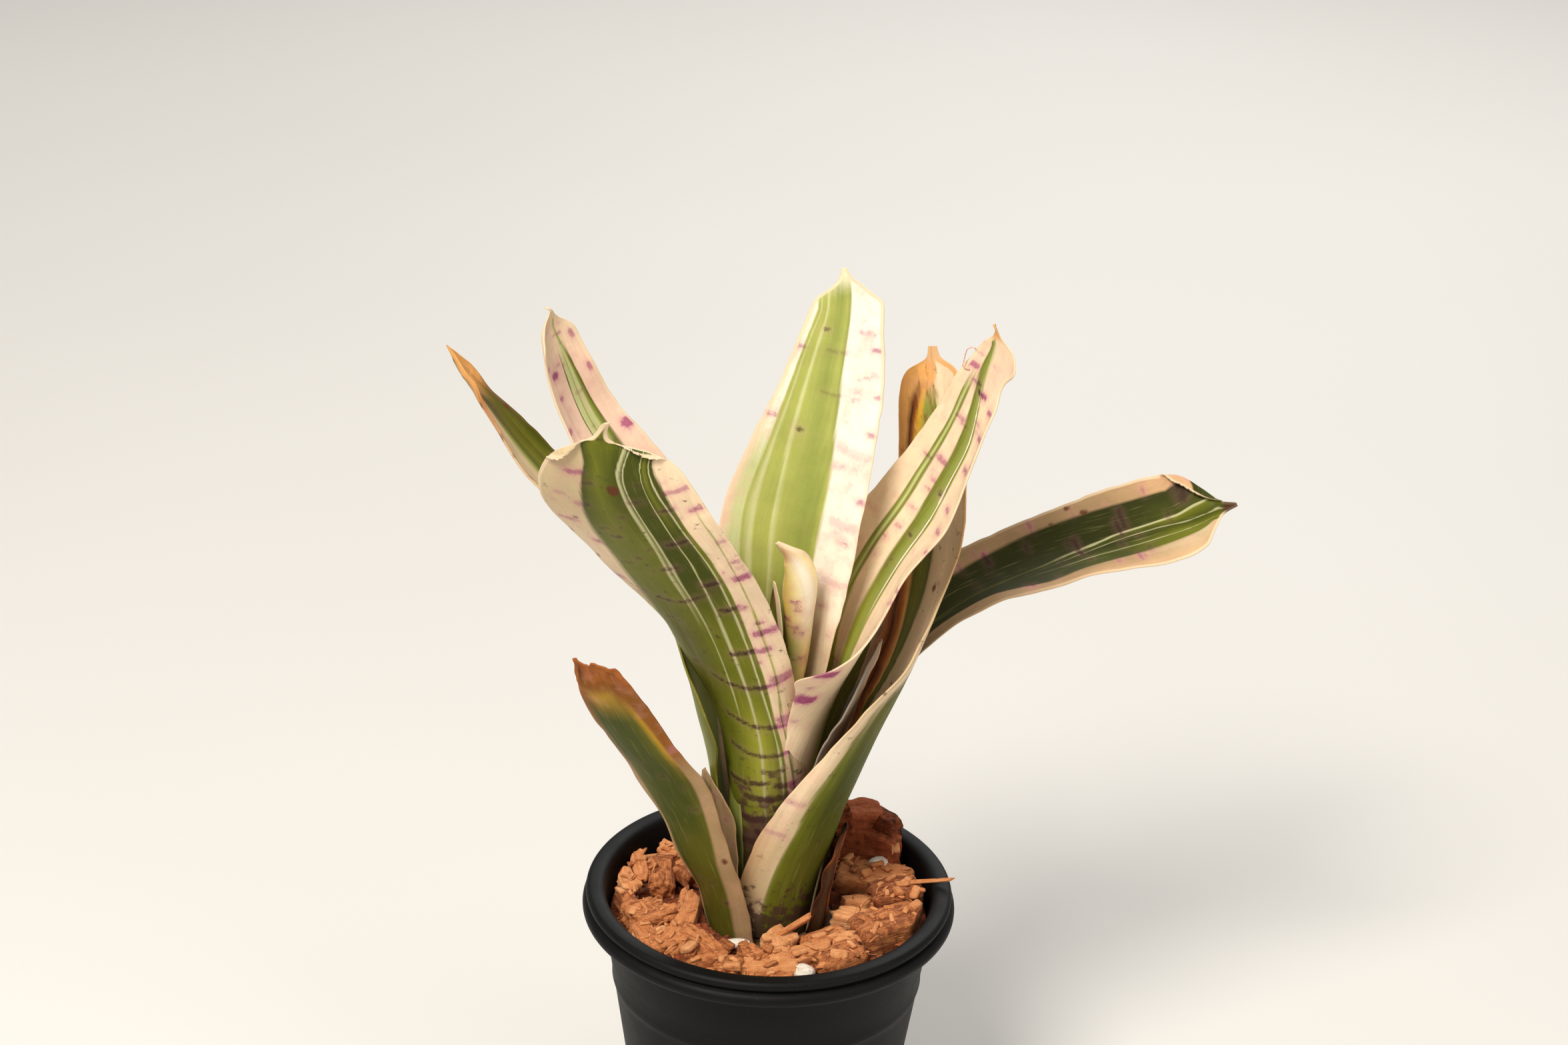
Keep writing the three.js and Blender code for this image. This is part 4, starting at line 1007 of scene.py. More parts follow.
class Graph:
    """Node tree of one material, with short calls for the nodes used here"""

    def __init__(self, name):
        self.material = bpy.data.materials.new(name)
        self.material.use_nodes = True
        self.tree = self.material.node_tree
        self.tree.nodes.clear()

    def make(self, kind, inputs, output=0, **settings):
        """Adds a node, sets or links its inputs and gives one of its outputs"""
        made = self.tree.nodes.new("ShaderNode" + kind)
        for key, value in settings.items():
            setattr(made, key, value)
        for key, value in inputs.items():
            socket = made.inputs[key]
            if isinstance(value, Value):
                self.tree.links.new(value.socket, socket)
            else:
                socket.default_value = value
        return Value(self, made.outputs[output]) if made.outputs else made

    def field(self, name):
        """Vector that a mesh carries under a name"""
        return self.make("Attribute", {}, "Vector", attribute_name=name)

    def place(self):
        """Place in the object's own space"""
        return self.make("TexCoord", {}, "Object")

    def split(self, vector):
        made = self.make("SeparateXYZ", {0: vector}).socket.node
        return [Value(self, socket) for socket in made.outputs]

    def join(self, x, y, z=0.0):
        return self.make("CombineXYZ", {0: x, 1: y, 2: z})

    def math(self, operation, a, b):
        return self.make("Math", {0: a, 1: b}, operation=operation)

    def step(self, value, low, high, to_low=0.0, to_high=1.0):
        """Smooth step of a value between two levels"""
        inputs = dict(enumerate((value, low, high, to_low, to_high)))
        return self.make("MapRange", inputs, interpolation_type="SMOOTHSTEP")

    def mix(self, share, a, b, blend="MIX"):
        return self.make("Mix", {0: share, 6: a, 7: b}, 2, data_type="RGBA", blend_type=blend)

    def noise(self, vector, scale, detail=3.0, rough=0.55):
        inputs = {"Vector": vector, "Scale": scale, "Detail": detail, "Roughness": rough}
        return self.make("TexNoise", inputs)

    def ramp(self, value, *stops):
        """Colour by value, and the alpha of that colour"""
        colour = self.make("ValToRGB", {0: value})
        elements = colour.socket.node.color_ramp.elements
        while len(elements) < len(stops):
            elements.new(0.5)
        for element, (place, shade) in zip(elements, stops):
            element.position = place
            element.color = srgb(shade) if isinstance(shade, str) else shade
        return colour, Value(self, colour.socket.node.outputs[1])

    def bump(self, height, strength, distance):
        return self.make("Bump", {"Strength": strength, "Distance": distance, "Height": height})

    def surface(self, colour, roughness, normal=None, **constants):
        """Finishes the material with a shader and gives it back"""
        inputs = {key.replace("_", " "): value for key, value in constants.items()}
        inputs.update({"Base Color": colour, "Roughness": roughness})
        if normal is not None:
            inputs["Normal"] = normal
        self.make("OutputMaterial", {0: self.make("BsdfPrincipled", inputs)})
        return self.material


def zone_stops(text):
    """Ramp stops from places and colour names in turn; the alpha is the greenness"""
    words = text.split()
    return [(float(place), srgb(PALETTE[name][0])[:3] + [PALETTE[name][1]])
            for place, name in zip(words[::2], words[1::2])]


def stripe_colours(g, look, place, level):
    """Colour and greenness of the stripes, zone after zone along the leaf"""
    (_, first), *others = look["zones"]
    colour, green = g.ramp(place, *zone_stops(first))
    for start, text in others:
        zone, zone_green = g.ramp(place, *zone_stops(text))
        blur = TIP_BLUR if start > TIP_START else ZONE_BLUR
        share = g.step(level, start - blur, start + blur)
        colour = g.mix(share, colour, zone)
        green = green * (1 - share) + zone_green * share
    return colour, green


def leaf_material(name, look, seed):
    """Striped blade: zones of stripes along the leaf, hairlines, mottling, cross marks and rust"""
    g = Graph("mat_" + name)
    u, t, side = g.split(g.field("leaf"))
    across, along, edge = g.split(g.field("span"))
    gap, strength, rust = g.split(g.field("marks"))
    order, dry, _ = g.split(g.field("order"))
    offset = seed * 13.7
    fibre = g.join(across * 0.9, along * 0.02, offset)
    skin = g.join(across, along, side * 4 + offset)
    streak = g.noise(fibre, 1.0, 4.0)
    hair = g.noise(fibre, 3.6, 3.0)
    cloud = g.noise(skin, 0.11, 4.0)
    grain = g.noise(skin, 1.3, 4.0, 0.65)
    place = order + (streak - 0.5) * 0.03 + (hair - 0.5) * 0.014
    level = t + (streak - 0.5) * 0.024 + (cloud - 0.5) * 0.04
    colour, green = stripe_colours(g, look, place, level)

    # Hairlines along the blade: pale ones in the green, green ones in the cream
    colour = g.mix(g.step(hair, 0.6, 0.72) * green * 0.32, colour, srgb("#a9a468"))
    colour = g.mix(g.step(hair, 0.66, 0.74) * (1 - green) * 0.28, colour, srgb("#bdb682"))

    # Broad light and dark patches, fine grain and darker veins
    tone = (cloud * 0.4 + 0.8) * (streak * 0.24 + 0.88) * (grain * 0.14 + 0.93)
    colour = g.mix(1.0, colour, g.make("CombineColor", {0: tone, 1: tone, 2: tone}), "MULTIPLY")

    # Pink wash over the cream in patches
    wash = g.step(g.noise(skin, 0.2, 3.0, 0.6), 0.46, 0.7) * (1 - green) * look.get("wash", 0.2)
    colour = g.mix(wash, colour, srgb("#dd9d92"))

    # Plum mottling at the foot
    if "plum" in look:
        low, high = look["plum"]
        blotch = g.noise(g.join(across, along * 1.3, offset + 5), 0.28, 5.0, 0.6)
        foot = g.step(t, low, high + 0.06, 1.0, 0.0)
        colour = g.mix(g.step(foot * 0.28 + blotch, 0.6, 0.74) * 0.8, colour, srgb("#4a2b2a"))

    # Cross marks: magenta with a pink halo on cream, dark maroon on green
    ragged = g.noise(skin, 0.75, 3.0, 0.6) * 2 - 1 + (g.noise(skin, 3.1, 2.0) - 0.5)
    reach = gap + ragged
    halo = g.step(reach, 0.0, 2.6, 0.42, 0.0) * (1 - green * 0.8) * strength
    colour = g.mix(halo, colour, srgb("#cf8590"))
    mark = g.step(reach, -0.5, 0.62, 1.0, 0.0) * strength * (grain * 0.6 + 0.62)
    colour = g.mix(mark, colour, g.mix(g.step(green, 0.35, 0.7), srgb("#9a3f6c"), srgb("#3c2220")))
    spot = g.step(rust + ragged * 0.6, -0.5, 0.4, 1.0, 0.0)
    colour = g.mix(spot * 0.85, colour, srgb("#5f2a18"))

    # Dry tissue: brown fibres
    scorch = g.noise(g.join(across * 0.5, along * 0.12, offset), 1.0, 5.0, 0.65)
    colour = g.mix(g.step(scorch, 0.5, 0.68) * dry * look.get("scorch", 0.6), colour, srgb("#7a4423"))

    # Pale horny rim all round, wider towards the tip, and the colour of the tip itself
    inner_rim, outer_rim = look.get("rims", (1.6, 1.6))
    rim_width = g.step(t, 0.82, 0.92, 0.8, side * (inner_rim - outer_rim) + outer_rim)
    rim_from = look.get("rim_from", 0.5)
    rim_power = g.step(t, rim_from, max(0.92, rim_from + 0.05), 0.1, 0.9)
    rim = (1 - g.step(edge / rim_width, 0.6, 1.0)) * rim_power
    colour = g.mix(rim, colour, srgb(PALETTE[look.get("tip", "cream")][0]))
    if "mucro" in look:
        colour = g.mix(g.step(t, 0.97, 0.984, 0.0, 0.9), colour, srgb(PALETTE[look["mucro"]][0]))

    height = hair * 0.6 + streak * 0.6 + grain * 0.18 + scorch * dry * 1.5
    return g.surface(colour, grain * 0.16 + 0.4 + dry * 0.3, g.bump(height, 0.35, 0.0004),
                     Subsurface_Weight=0.1, Subsurface_Radius=(0.8, 0.7, 0.3), Subsurface_Scale=0.0012,
                     Specular_IOR_Level=0.12)


def husk_material(name, dark, mid, light, crumb):
    """Fibrous husk or bark: fibres along each chip, tint by chip, dark pores"""
    g = Graph(name)
    tint = g.split(g.field("chip"))[2]
    local = g.field("grainspace")
    lx, ly, lz = g.split(local)
    fibre = g.join(lx * 0.09, ly, lz)
    streak = g.noise(fibre, 2.4, 5.0, 0.65)
    strand = g.noise(fibre, 0.8, 3.0, 0.5)
    pith = g.noise(local, 0.5, 4.0, 0.6)
    pores = g.noise(local, 2.6, 3.0, 0.6)
    value = streak * 0.42 + pith * 0.4 + (strand * 0.22 - 0.1) + (tint - 0.5) * 0.3
    colour, _ = g.ramp(value, (0.26, dark), (0.4, mid), (0.56, light), (0.74, crumb))
    colour = g.mix(g.step(pores, 0.3, 0.44, 1.0, 0.0) * 0.4, colour, srgb(dark))
    normal = g.bump(streak * 0.9 + pores * 0.7, 0.75, 0.0006)
    return g.surface(colour, pith * 0.2 + 0.75, normal, IOR=1.35)


def pot_material():
    """Black moulded plastic with faint turning marks, grime and pale flecks of dust"""
    g = Graph("mat_pot")
    coords = g.place()
    x, y, z = g.split(coords)
    rings = g.noise(g.join(x * 0.02, y * 0.02, z), 900, 3.0)
    grime = g.noise(coords, 60, 6.0, 0.7)
    dust = g.noise(coords, 1400, 2.0)
    colour, _ = g.ramp(grime, (0.35, "#070707"), (0.6, "#0c0c0c"), (0.8, "#171514"))
    colour = g.mix(g.step(dust, 0.68, 0.76) * 0.14, colour, srgb("#6d655c"))
    normal = g.bump(rings * 0.4 + dust * 0.25, 0.25, 0.0003)
    return g.surface(colour, grime * 0.3 + 0.36 + rings * 0.08, normal, Specular_IOR_Level=0.14)


def perlite_material():
    """White porous grains with brown dust in the pores"""
    g = Graph("mat_perlite")
    coords = g.place()
    pores = g.noise(coords, 1100, 3.0)
    colour, _ = g.ramp(g.noise(coords, 260, 4.0), (0.3, "#cdbfa8"), (0.55, "#ece4d6"), (0.75, "#f6f1e8"))
    colour = g.mix(g.step(pores, 0.36, 0.46, 0.5, 0.0), colour, srgb("#a5927a"))
    normal = g.bump(pores, 0.6, 0.0005)
    return g.surface(colour, 0.8, normal, Subsurface_Weight=0.15, Subsurface_Scale=0.001)


def stem_material():
    """Dull brown stem with grain along its height"""
    g = Graph("mat_stem")
    x, y, z = g.split(g.place())
    vector = g.join(x, y, z * 0.3)
    fine = g.noise(vector, 1080, 4.0, 0.6)
    value = fine * 0.35 + g.noise(vector, 180, 6.0, 0.6) * 0.65
    colour, _ = g.ramp(value, (0.3, "#2d2013"), (0.55, "#5b4424"), (0.75, "#7d6437"))
    return g.surface(colour, fine * 0.2 + 0.75, g.bump(value, 0.6, 0.0008))


# Pot

def wall_radius(z):
    """Outer radius of the tapered wall at a height"""
    return BASE_RADIUS + (SHOULDER_RADIUS - BASE_RADIUS) * z / SHOULDER_HEIGHT


def arc_points(centre, radius, start, end, count):
    """Points of a circular arc in the profile plane, angles in degrees from outwards"""
    angles = np.radians(np.linspace(start, end, count))
    return [(centre[0] + radius * math.cos(a), centre[1] + radius * math.sin(a)) for a in angles]


def pot_profile():
    """Profile of the pot from the axis under the floor, up the outside and down the inside"""
    outer = [(0, 0), (12, 0), (24, 0), (BASE_RADIUS - 1.2, 0)]
    outer += arc_points((BASE_RADIUS - 1.2, 1.2), 1.2, -70, 0, 5)
    outer += [(wall_radius(z), z) for z in (8, 20, 32, 44, 54, 62)]
    outer += [(wall_radius(64), 63.6), (wall_radius(64) + 0.35, 64.1), (wall_radius(64) + 0.5, 64.7),
              (wall_radius(66) + 0.2, 66.2), (wall_radius(67), 67)]
    outer += [(wall_radius(z), z) for z in (72, 78, 83.5, 85)]
    outer += [(wall_radius(85) + 0.9, 85.6), (wall_radius(85) + 2.2, 86.2)]
    outer += arc_points((RIM_RADIUS - 1.3, 89), 2.3, -62, 75, 14)
    outer += [(RIM_RADIUS - 1.6, 91.6), (RIM_RADIUS - 1.9, 92)]
    outer += arc_points((RIM_RADIUS - 1.6, 93.4), 1.6, -52, 90, 12)
    inner = [(RIM_RADIUS - 3.2, 95), (LIP_INNER_RADIUS + 1.6, 94.85), (LIP_INNER_RADIUS + 0.6, 94.5)]
    inner += [(LIP_INNER_RADIUS + 0.1, 93.9), (LIP_INNER_RADIUS, 92.6), (wall_radius(88) - WALL, 88)]
    inner += [(wall_radius(z) - WALL, z) for z in (80, 60, 40, 20, 5)]
    inner += [(wall_radius(2) - WALL - 0.8, POT_FLOOR + 0.4), (wall_radius(2) - WALL - 2, POT_FLOOR),
              (20, POT_FLOOR), (0, POT_FLOOR)]
    return outer + inner


def lathe(name, profile, sides, wobble=None):
    """Solid of revolution whose profile runs from the axis round and back to the axis"""
    vertices, rings = [], []
    for r, z in profile:
        rings.append(len(vertices))
        if r == 0:
            vertices.append((0, 0, z))
            continue
        for k in range(sides):
            a = 2 * math.pi * k / sides
            extra = wobble(r, z, a) if wobble else (0, 0)
            vertices.append(((r + extra[0]) * math.cos(a), (r + extra[0]) * math.sin(a), z + extra[1]))
    faces = []
    for i in range(len(profile) - 1):
        a, b = rings[i], rings[i + 1]
        for k in range(sides):
            n = (k + 1) % sides
            if profile[i][0] == 0:
                faces.append((a, b + n, b + k))
            elif profile[i + 1][0] == 0:
                faces.append((a + k, a + n, b))
            else:
                faces.append((a + k, a + n, b + n, b + k))
    return mesh_object(name, vertices, faces)


def apply_modifiers(piece):
    """Replaces a piece's mesh by the result of its modifiers"""
    graph = bpy.context.evaluated_depsgraph_get()
    mesh = bpy.data.meshes.new_from_object(piece.evaluated_get(graph))
    piece.modifiers.clear()
    piece.data = mesh


def build_pot():
    """Pot with its drain holes cut through the floor"""
    pot = lathe("nursery_pot", pot_profile(), POT_SIDES)
    r = DRAIN_RADIUS
    profile = [(0, -5), (r, -5), (r, 0.4), (r - 0.4, 0.8), (r - 0.4, 6), (0, 6)]
    for k in range(DRAIN_HOLES):
        a = 2 * math.pi * (k + 0.5) / DRAIN_HOLES
        cutter = lathe(f"cutter_{k}", profile, 32)
        place = (DRAIN_RING * math.cos(a) * MM, DRAIN_RING * math.sin(a) * MM, 0)
        cutter.data.transform(Matrix.Translation(place))
        cut = pot.modifiers.new("drain", "BOOLEAN")
        cut.operation, cut.solver, cut.object = "DIFFERENCE", "EXACT", cutter
        apply_modifiers(pot)
        bpy.data.objects.remove(cutter)
    pot.data.polygons.foreach_set("use_smooth", [True] * len(pot.data.polygons))
    pot.data.set_sharp_from_angle(angle=math.radians(50))
    finish_piece(pot, "pot", pot_material(), "pot")


# Chips, medium and grains

def scatter_rows(count, seed, level):
    """Chips scattered between the plant and the wall"""
    random = make_random(seed)
    rows = []
    for k in range(count):
        angle = (k + random() * 0.9) / count * 2 * math.pi * 5
        radius = CHIP_RING_INNER + CHIP_RING_WIDTH * math.sqrt(random())
        length = 7 + 8 * random()
        rows.append([radius * math.cos(angle), radius * math.sin(angle), level + 2 * random(), length,
                     4 + 4 * random(), 4 + 2.5 * random(), 360 * random(), 22 * (random() - 0.5)])
    return rows


def turn_matrix(x, y, z):
    """Turns about X, then Y, then Z, in degrees"""
    def axis(index, degrees):
        c, s = math.cos(math.radians(degrees)), math.sin(math.radians(degrees))
        m = np.eye(3)
        a, b = [(1, 2), (2, 0), (0, 1)][index]
        m[a, a], m[a, b], m[b, a], m[b, b] = c, -s, s, c
        return m
    return axis(2, z) @ axis(1, y) @ axis(0, x)


def box_grid(*counts):
    """Vertices in -1..1 and quads of a box subdivided by counts along X, Y and Z"""
    index, vertices, faces = {}, [], []
    for axis in range(3):
        b, c = (axis + 1) % 3, (axis + 2) % 3
        for i, j, end in np.ndindex(counts[b], counts[c], 2):
            quad = []
            for di, dj in ((0, 0), (1, 0), (1, 1), (0, 1)):
                place = [0, 0, 0]
                place[axis], place[b], place[c] = end * counts[axis], i + di, j + dj
                if tuple(place) not in index:
                    index[tuple(place)] = len(vertices)
                    vertices.append([2 * p / n - 1 for p, n in zip(place, counts)])
                quad.append(index[tuple(place)])
            faces.append(tuple(quad if end else quad[::-1]))
    return np.array(vertices), faces


def chip_points(row, unit, random, seed):
    """Displaced vertices of one chip, and its own-space coordinates"""
    x, y, z, length, width, thick, turn, tip = row
    size = np.array([length, width, thick])
    rounded = unit / (np.abs(unit) ** CHIP_SHARPNESS).sum(1)[:, None] ** (1 / CHIP_SHARPNESS)
    local = np.zeros_like(unit)
    for corner in ((cx, cy, cz) for cz in (-1, 1) for cx, cy in ((-1, -1), (1, -1), (1, 1), (-1, 1))):
        jitter = np.array([0.78 + 0.44 * random() for _ in range(3)])
        weight = np.prod((1 + corner * rounded) / 2, axis=1)
        local += weight[:, None] * corner * size / 2 * jitter
    grip = min(1, size.min() / 5)
    long_axis = 0 if length >= width else 1
    fibre_scale = np.full(3, 1.3)
    fibre_scale[long_axis] = 0.12
    normal = rounded / np.linalg.norm(rounded, axis=1)[:, None]
    where = local + np.array([17.3, 5.1, 9.7]) * seed
    fibres = noise(where * fibre_scale, seed) * 0.34
    lumps = fractal(where * 0.2, seed + 3, 3) * 0.5
    pits = np.minimum(0, noise(where * 0.6, seed + 5) + 0.3) * 0.8
    local = local + normal * ((fibres + lumps + pits) * grip)[:, None]
    torn = fractal(where * 0.6, seed + 9, 2) * 1.5 * grip
    local[:, long_axis] += torn * np.abs(rounded[:, long_axis]) ** 4 * np.sign(rounded[:, long_axis])
    grain = local[:, [1, 0, 2]] if long_axis else local.copy()
    return local @ turn_matrix(tip, tip * 0.4, turn).T + np.array([x, y, z]), grain


def keep_inside(points, limit):
    """Presses points in to within a radius"""
    over = np.maximum(np.hypot(points[:, 0], points[:, 1]) / limit, 1)
    return points / np.column_stack([over, over, np.ones_like(over)])


def build_chips(name, rows, seed, grid):
    """All chips of one pile as one piece, with each chip's own space and tint"""
    random = make_random(seed)
    tints = make_random(seed + 90)
    unit, quads = box_grid(*grid)
    parts, spaces, chips = [], [], []
    for k, row in enumerate(rows):
        placed, grain = chip_points(row, unit, random, seed * 31 + k)
        if row is not STICK:
            placed = keep_inside(placed, LIP_INNER_RADIUS - 2.6)
        parts.append((placed, quads))
        spaces.append(grain + np.array([13.0, 7.0, 3.0]) * k)
        chips.append(np.tile([placed[:, 0].mean(), placed[:, 1].mean(), tints()], (len(unit), 1)))
    piece = merged_object(name, parts)
    set_vector(piece, "grainspace", np.concatenate(spaces))
    set_vector(piece, "chip", np.concatenate(chips))
    return piece


def drop_height(trees, x, y):
    """Height of the pile under a place, or nothing where the pile is missing"""
    hits = [tree.ray_cast(Vector((x * MM, y * MM, 0.2)), Vector((0, 0, -1)))[0] for tree in trees]
    heights = [hit.z / MM for hit in hits if hit is not None]
    return max(heights) if heights else None


def random_place(random, inner, width):
    """Place in the ring between the plant and the wall"""
    angle, radius = 2 * math.pi * random(), inner + width * math.sqrt(random())
    return radius * math.cos(angle), radius * math.sin(angle)


def shred_path(random, trees):
    """Centre line of a curled shred of fibre that arches over the pile"""
    x, y = random_place(random, 22, 20)
    height = min(drop_height(trees, x, y) or SOIL_LEVEL, SPLINTER_TOP)
    reach, turn, curve, lift = 3 + 5 * random(), 360 * random(), 3 * (random() - 0.5), 1 + 2 * random()
    share = np.linspace(0, 1, SHRED_POINTS)
    heading = math.radians(turn) + curve * share
    arch = np.sin(share * math.pi) * (0.4 + 0.6 * share)
    run = [np.cumsum(wave(heading)) * reach / SHRED_POINTS for wave in (np.cos, np.sin)]
    return np.column_stack([x + run[0], y + run[1], height + 0.1 + lift * arch])


def build_splinters(piles, material):
    """Small splinters and curled shreds that lie on the chips"""
    trees = [BVHTree.FromObject(pile, bpy.context.evaluated_depsgraph_get()) for pile in piles]
    random = make_random(SPLINTER_SEED)
    unit, quads = box_grid(5, 3, 3)
    parts, spaces, tints = [], [], []
    while len(parts) < SPLINTERS:
        x, y = random_place(random, 21, 25)
        length = 0.9 + 4.6 * random() ** 3
        width = length * (0.2 + 0.45 * random())
        height = drop_height(trees, x, y)
        row = [x, y, (height or 0) + 0.25 * width, length, width, width * (0.35 + 0.4 * random()),
               360 * random(), 70 * (random() - 0.5)]
        placed, grain = chip_points(row, unit, random, 900 + len(parts))
        if height is None or height > SPLINTER_TOP:
            continue
        parts.append((keep_inside(placed, LIP_INNER_RADIUS - 1.5), quads))
        spaces.append(grain + np.array([11.0, 5.0, 9.0]) * len(parts))
        tints.append(np.full(len(unit), 0.15 + 0.85 * random()))
    for _ in range(SHREDS):
        path = keep_inside(shred_path(random, trees), LIP_INNER_RADIUS - 2)
        ring, strips = tube(path, 0.12 + 0.22 * random(), 5)
        parts.append((ring, strips))
        spaces.append(ring)
        tints.append(np.full(len(ring), 0.3 + 0.7 * random()))
    piece = merged_object("husk_splinters", parts)
    points = np.concatenate([vertices for vertices, _ in parts])
    set_vector(piece, "grainspace", np.concatenate(spaces))
    set_vector(piece, "chip", np.column_stack([points[:, :2], np.concatenate(tints)]))
    finish_piece(piece, "chips", material)


def build_husk():
    """Light chips, bark chips with the large chunk, the bed and the splinters"""
    light = husk_material("mat_chips", "#7c4020", "#c67c48", "#dc9862", "#eec290")
    rows = [*LIGHT_CHIPS, *scatter_rows(CHIP_COUNT, LIGHT_SEEDS[0], SOIL_LEVEL + 3), STICK]
    chips = build_chips("husk_chips", rows, LIGHT_SEEDS[1], (24, 15, 9))
    finish_piece(chips, "chips", light, "chips")
    dark = husk_material("mat_medium", "#43200f", "#8e4626", "#b5623a", "#c9805a")
    rows = [*CHUNK_PARTS, *scatter_rows(DARK_CHIP_COUNT, DARK_SEEDS[0], SOIL_LEVEL + 0.5)]
    bark = build_chips("bark_chips", rows, DARK_SEEDS[1], (24, 18, 16))
    finish_piece(bark, "medium", dark)
    bed = build_bed()
    finish_piece(bed, "medium", dark, "medium")
    build_splinters([chips, bark, bed], light)


def build_bed():
    """Growing medium: a closed body with a bumpy top and a hole for the stem"""
    bottom = POT_FLOOR + CLEARANCE
    hole = STEM_RADIUS + CLEARANCE
    rim = wall_radius(SOIL_LEVEL) - WALL - CLEARANCE
    profile = [(0, bottom), (wall_radius(bottom) - 2.3, bottom), (wall_radius(40) - 1.5, 40)]
    profile += [(float(r), SOIL_LEVEL) for r in (rim, *np.linspace(rim - 0.4, hole + 0.3, 34))]
    socket = STEM_BOTTOM - CLEARANCE
    profile += [(hole, SOIL_LEVEL - 0.5), (hole, STEM_SHOULDER)]
    profile += [(STEM_ROOT_RADIUS + CLEARANCE, socket), (0, socket)]

    def wobble(r, z, a):
        if z != SOIL_LEVEL or r > rim - 0.2:
            return 0, 0
        at = np.array([r * math.cos(a), r * math.sin(a), 0])
        return 0, float(1.2 + 1.3 * fractal(at * 0.16, 4, 3) + 0.9 * noise(at * 0.9, 8))

    bed = lathe("husk_bed", profile, 200, wobble)
    co = np.array([v.co for v in bed.data.vertices]) / MM
    set_vector(bed, "grainspace", co)
    set_vector(bed, "chip", np.column_stack([co[:, 0], co[:, 1], np.full(len(co), 0.3)]))
    return bed


def ico_points(levels):
    """Unit sphere from a subdivided icosahedron"""
    made = bmesh.new()
    bmesh.ops.create_icosphere(made, subdivisions=levels, radius=1)
    vertices = np.array([v.co[:] for v in made.verts])
    faces = [tuple(v.index for v in f.verts) for f in made.faces]
    made.free()
    return vertices, faces


def build_perlite():
    """One lumpy grain for each perlite node"""
    material = perlite_material()
    ball, faces = ico_points(4)
    for k, (x, y, z, length, width, thick, turn) in enumerate(PERLITE):
        shape = ball * (1 + 0.09 * fractal(ball * 1.9 + k * 7, 20 + k, 3)
                        + 0.05 * np.minimum(0, noise(ball * 5 + k, 40 + k) + 0.2))[:, None]
        points = shape * np.array([length, width, thick]) / 2
        points = points @ turn_matrix(0, 0, turn).T + np.array([x, y, z])
        piece = mesh_object(f"perlite_grain_{k + 1}", points, faces)
        finish_piece(piece, "perlite", material, f"perlite_{k + 1}")


# Torn thread at the margin of leaf c: the points that it passes
THREAD = [
    [54.9, 20.6, 261.6], [53.8, 21.2, 262.5], [52.7, 21.5, 262.7], [51.5, 21.5, 261.9], [51, 21.4, 260],
    [50.7, 21.3, 258.2], [50.5, 21.2, 257.1], [51.2, 21, 256.6], [52.4, 20.6, 256.2],
]


def build_thread():
    """Curled thread that stands off the margin of a leaf"""
    keys = np.column_stack([np.linspace(0, 1, len(THREAD)), THREAD])
    points, faces = tube(keyed(keys, np.linspace(0, 1, 40)), np.linspace(0.16, 0.22, 40), 8)
    piece = mesh_object("thread_1", points, faces)
    g = Graph("mat_thread_1")
    tone = g.noise(g.place(), 900, 3.0)
    shades, _ = g.ramp(tone, (0.35, "#b98a72"), (0.6, "#e8bfa6"))
    finish_piece(piece, "leaf_pale", g.surface(shades, 0.6, g.bump(tone, 0.3, 0.0002)))


# Stage

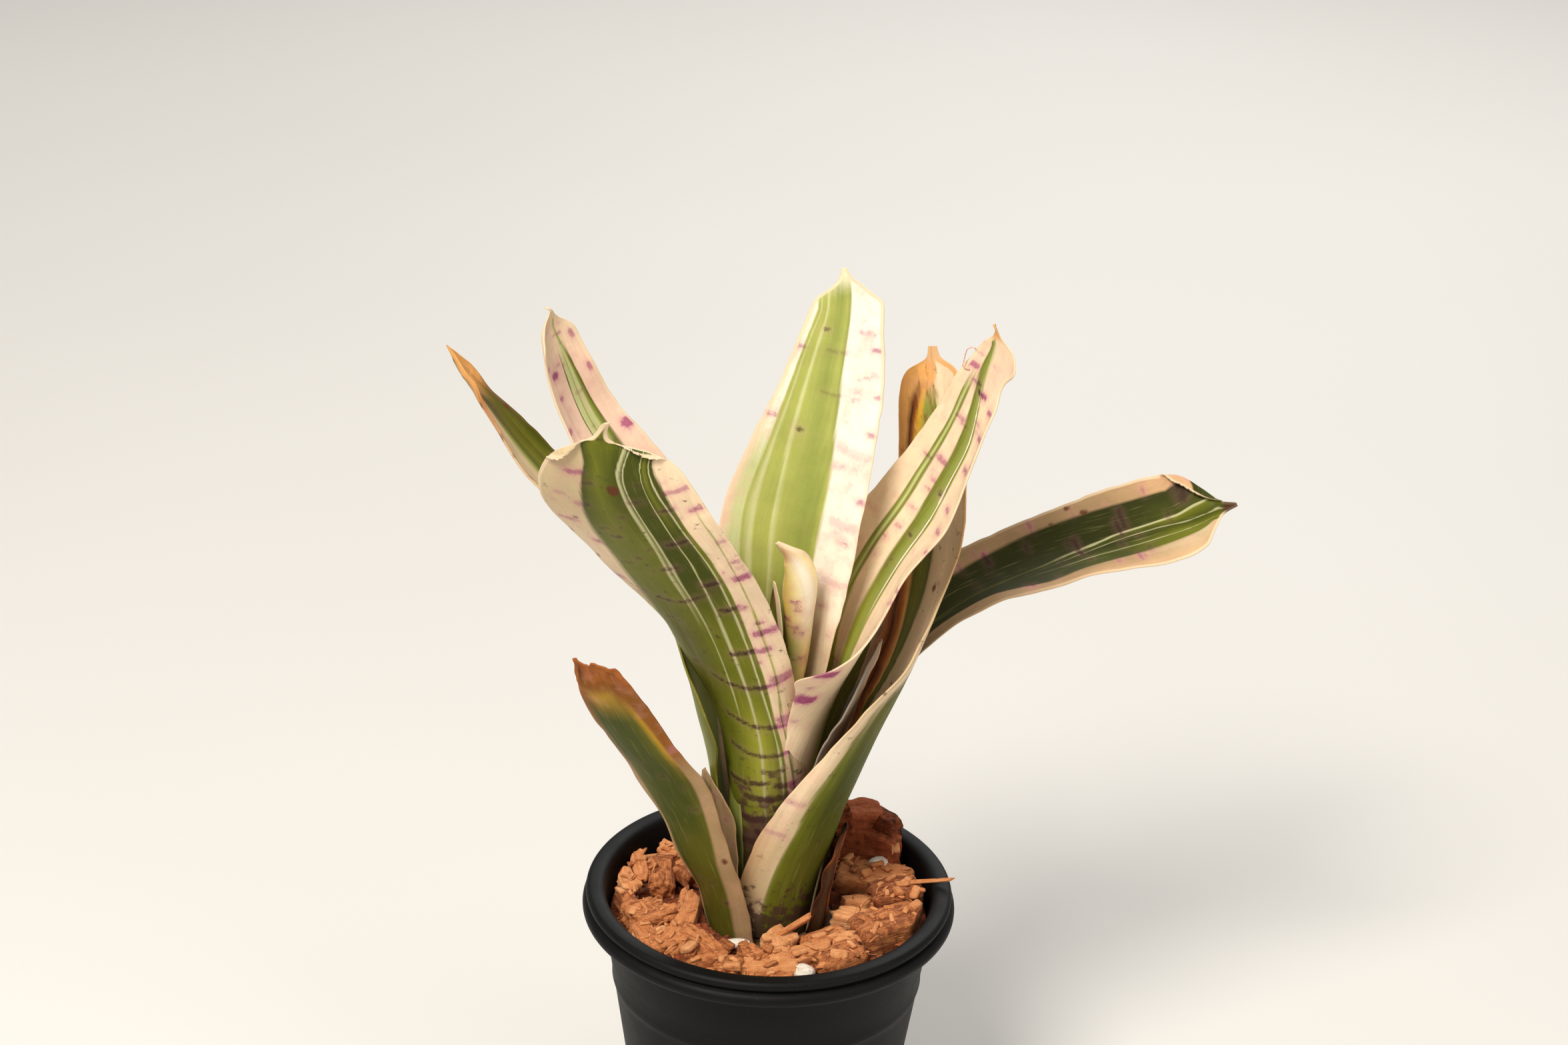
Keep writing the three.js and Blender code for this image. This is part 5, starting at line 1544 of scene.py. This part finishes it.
def build_stage():
    """Pale floor, plain sky and three soft lamps"""
    corners = [(x * FLOOR_REACH, y * FLOOR_REACH, -0.5) for x, y in ((-1, -1), (1, -1), (1, 1), (-1, 1))]
    floor = mesh_object("floor", corners, [(0, 1, 2, 3)], soft=False)
    if floor.data.polygons[0].normal.z < 0:
        floor.data.flip_normals()
    g = Graph("mat_floor")
    colour, _ = g.ramp(g.noise(g.place(), 1.2, 2.0), (0.3, "#d8d5cf"), (0.7, "#dedbd6"))
    floor.data.materials.append(g.surface(colour, 0.7))

    world = bpy.data.worlds.new("studio")
    bpy.context.scene.world = world
    world.use_nodes = True
    sky = world.node_tree.nodes["Background"].inputs
    sky[0].default_value, sky[1].default_value = (0.9, 0.88, 0.85, 1), 0.45

    target = Vector((0, 0, 0.16))
    for name, place, size, power, colour in (
            ("key", (-0.5, -0.75, 1.35), 0.6, 25, (1, 0.96, 0.9)),
            ("fill", (1.2, -0.7, 0.7), 1.0, 5, (1, 0.98, 0.96)),
            ("back", (0.3, 1.2, 1.0), 0.9, 8, (1, 1, 1))):
        light = bpy.data.lights.new(name, "AREA")
        light.shape, light.size, light.energy, light.color = "DISK", size, power, colour
        lamp = bpy.data.objects.new(name, light)
        lamp.location = place
        lamp.rotation_euler = (target - Vector(place)).to_track_quat("-Z", "Y").to_euler()
        bpy.context.scene.collection.objects.link(lamp)

    view = bpy.context.scene.view_settings
    view.view_transform, view.look, view.exposure, view.gamma = "Standard", "None", 0, 1


def build_camera():
    """Camera at the photograph's angle"""
    data = bpy.data.cameras.new("camera")
    data.lens, data.sensor_width, data.sensor_fit = CAMERA_LENS, SENSOR_WIDTH, "HORIZONTAL"
    data.clip_start, data.clip_end = 0.05, 50
    camera = bpy.data.objects.new("camera", data)
    bpy.context.scene.collection.objects.link(camera)
    pitch, roll = math.radians(CAMERA_PITCH), math.radians(CAMERA_ROLL)
    forward = np.array([0, math.cos(pitch), math.sin(pitch)])
    right = np.array([1.0, 0, 0])
    up = np.cross(right, forward)
    right, up = math.cos(roll) * right + math.sin(roll) * up, -math.sin(roll) * right + math.cos(roll) * up
    matrix = np.eye(4)
    matrix[:3, 0], matrix[:3, 1], matrix[:3, 2], matrix[:3, 3] = right, up, -forward, CAMERA_PLACE
    camera.matrix_world = Matrix(matrix.tolist())
    bpy.context.scene.camera = camera


def build_plant():
    """All blades, each with its own seed"""
    for seed, name in enumerate(LEAVES):
        build_leaf(name, seed + 1)


def dress_stem():
    """Keeps the stem's own solid and gives it a material"""
    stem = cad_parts["stem"]
    stem.data.materials.clear()
    stem.data.materials.append(stem_material())


build_camera()
build_stage()
build_plant()
build_pot()
build_husk()
build_perlite()
build_thread()
dress_stem()
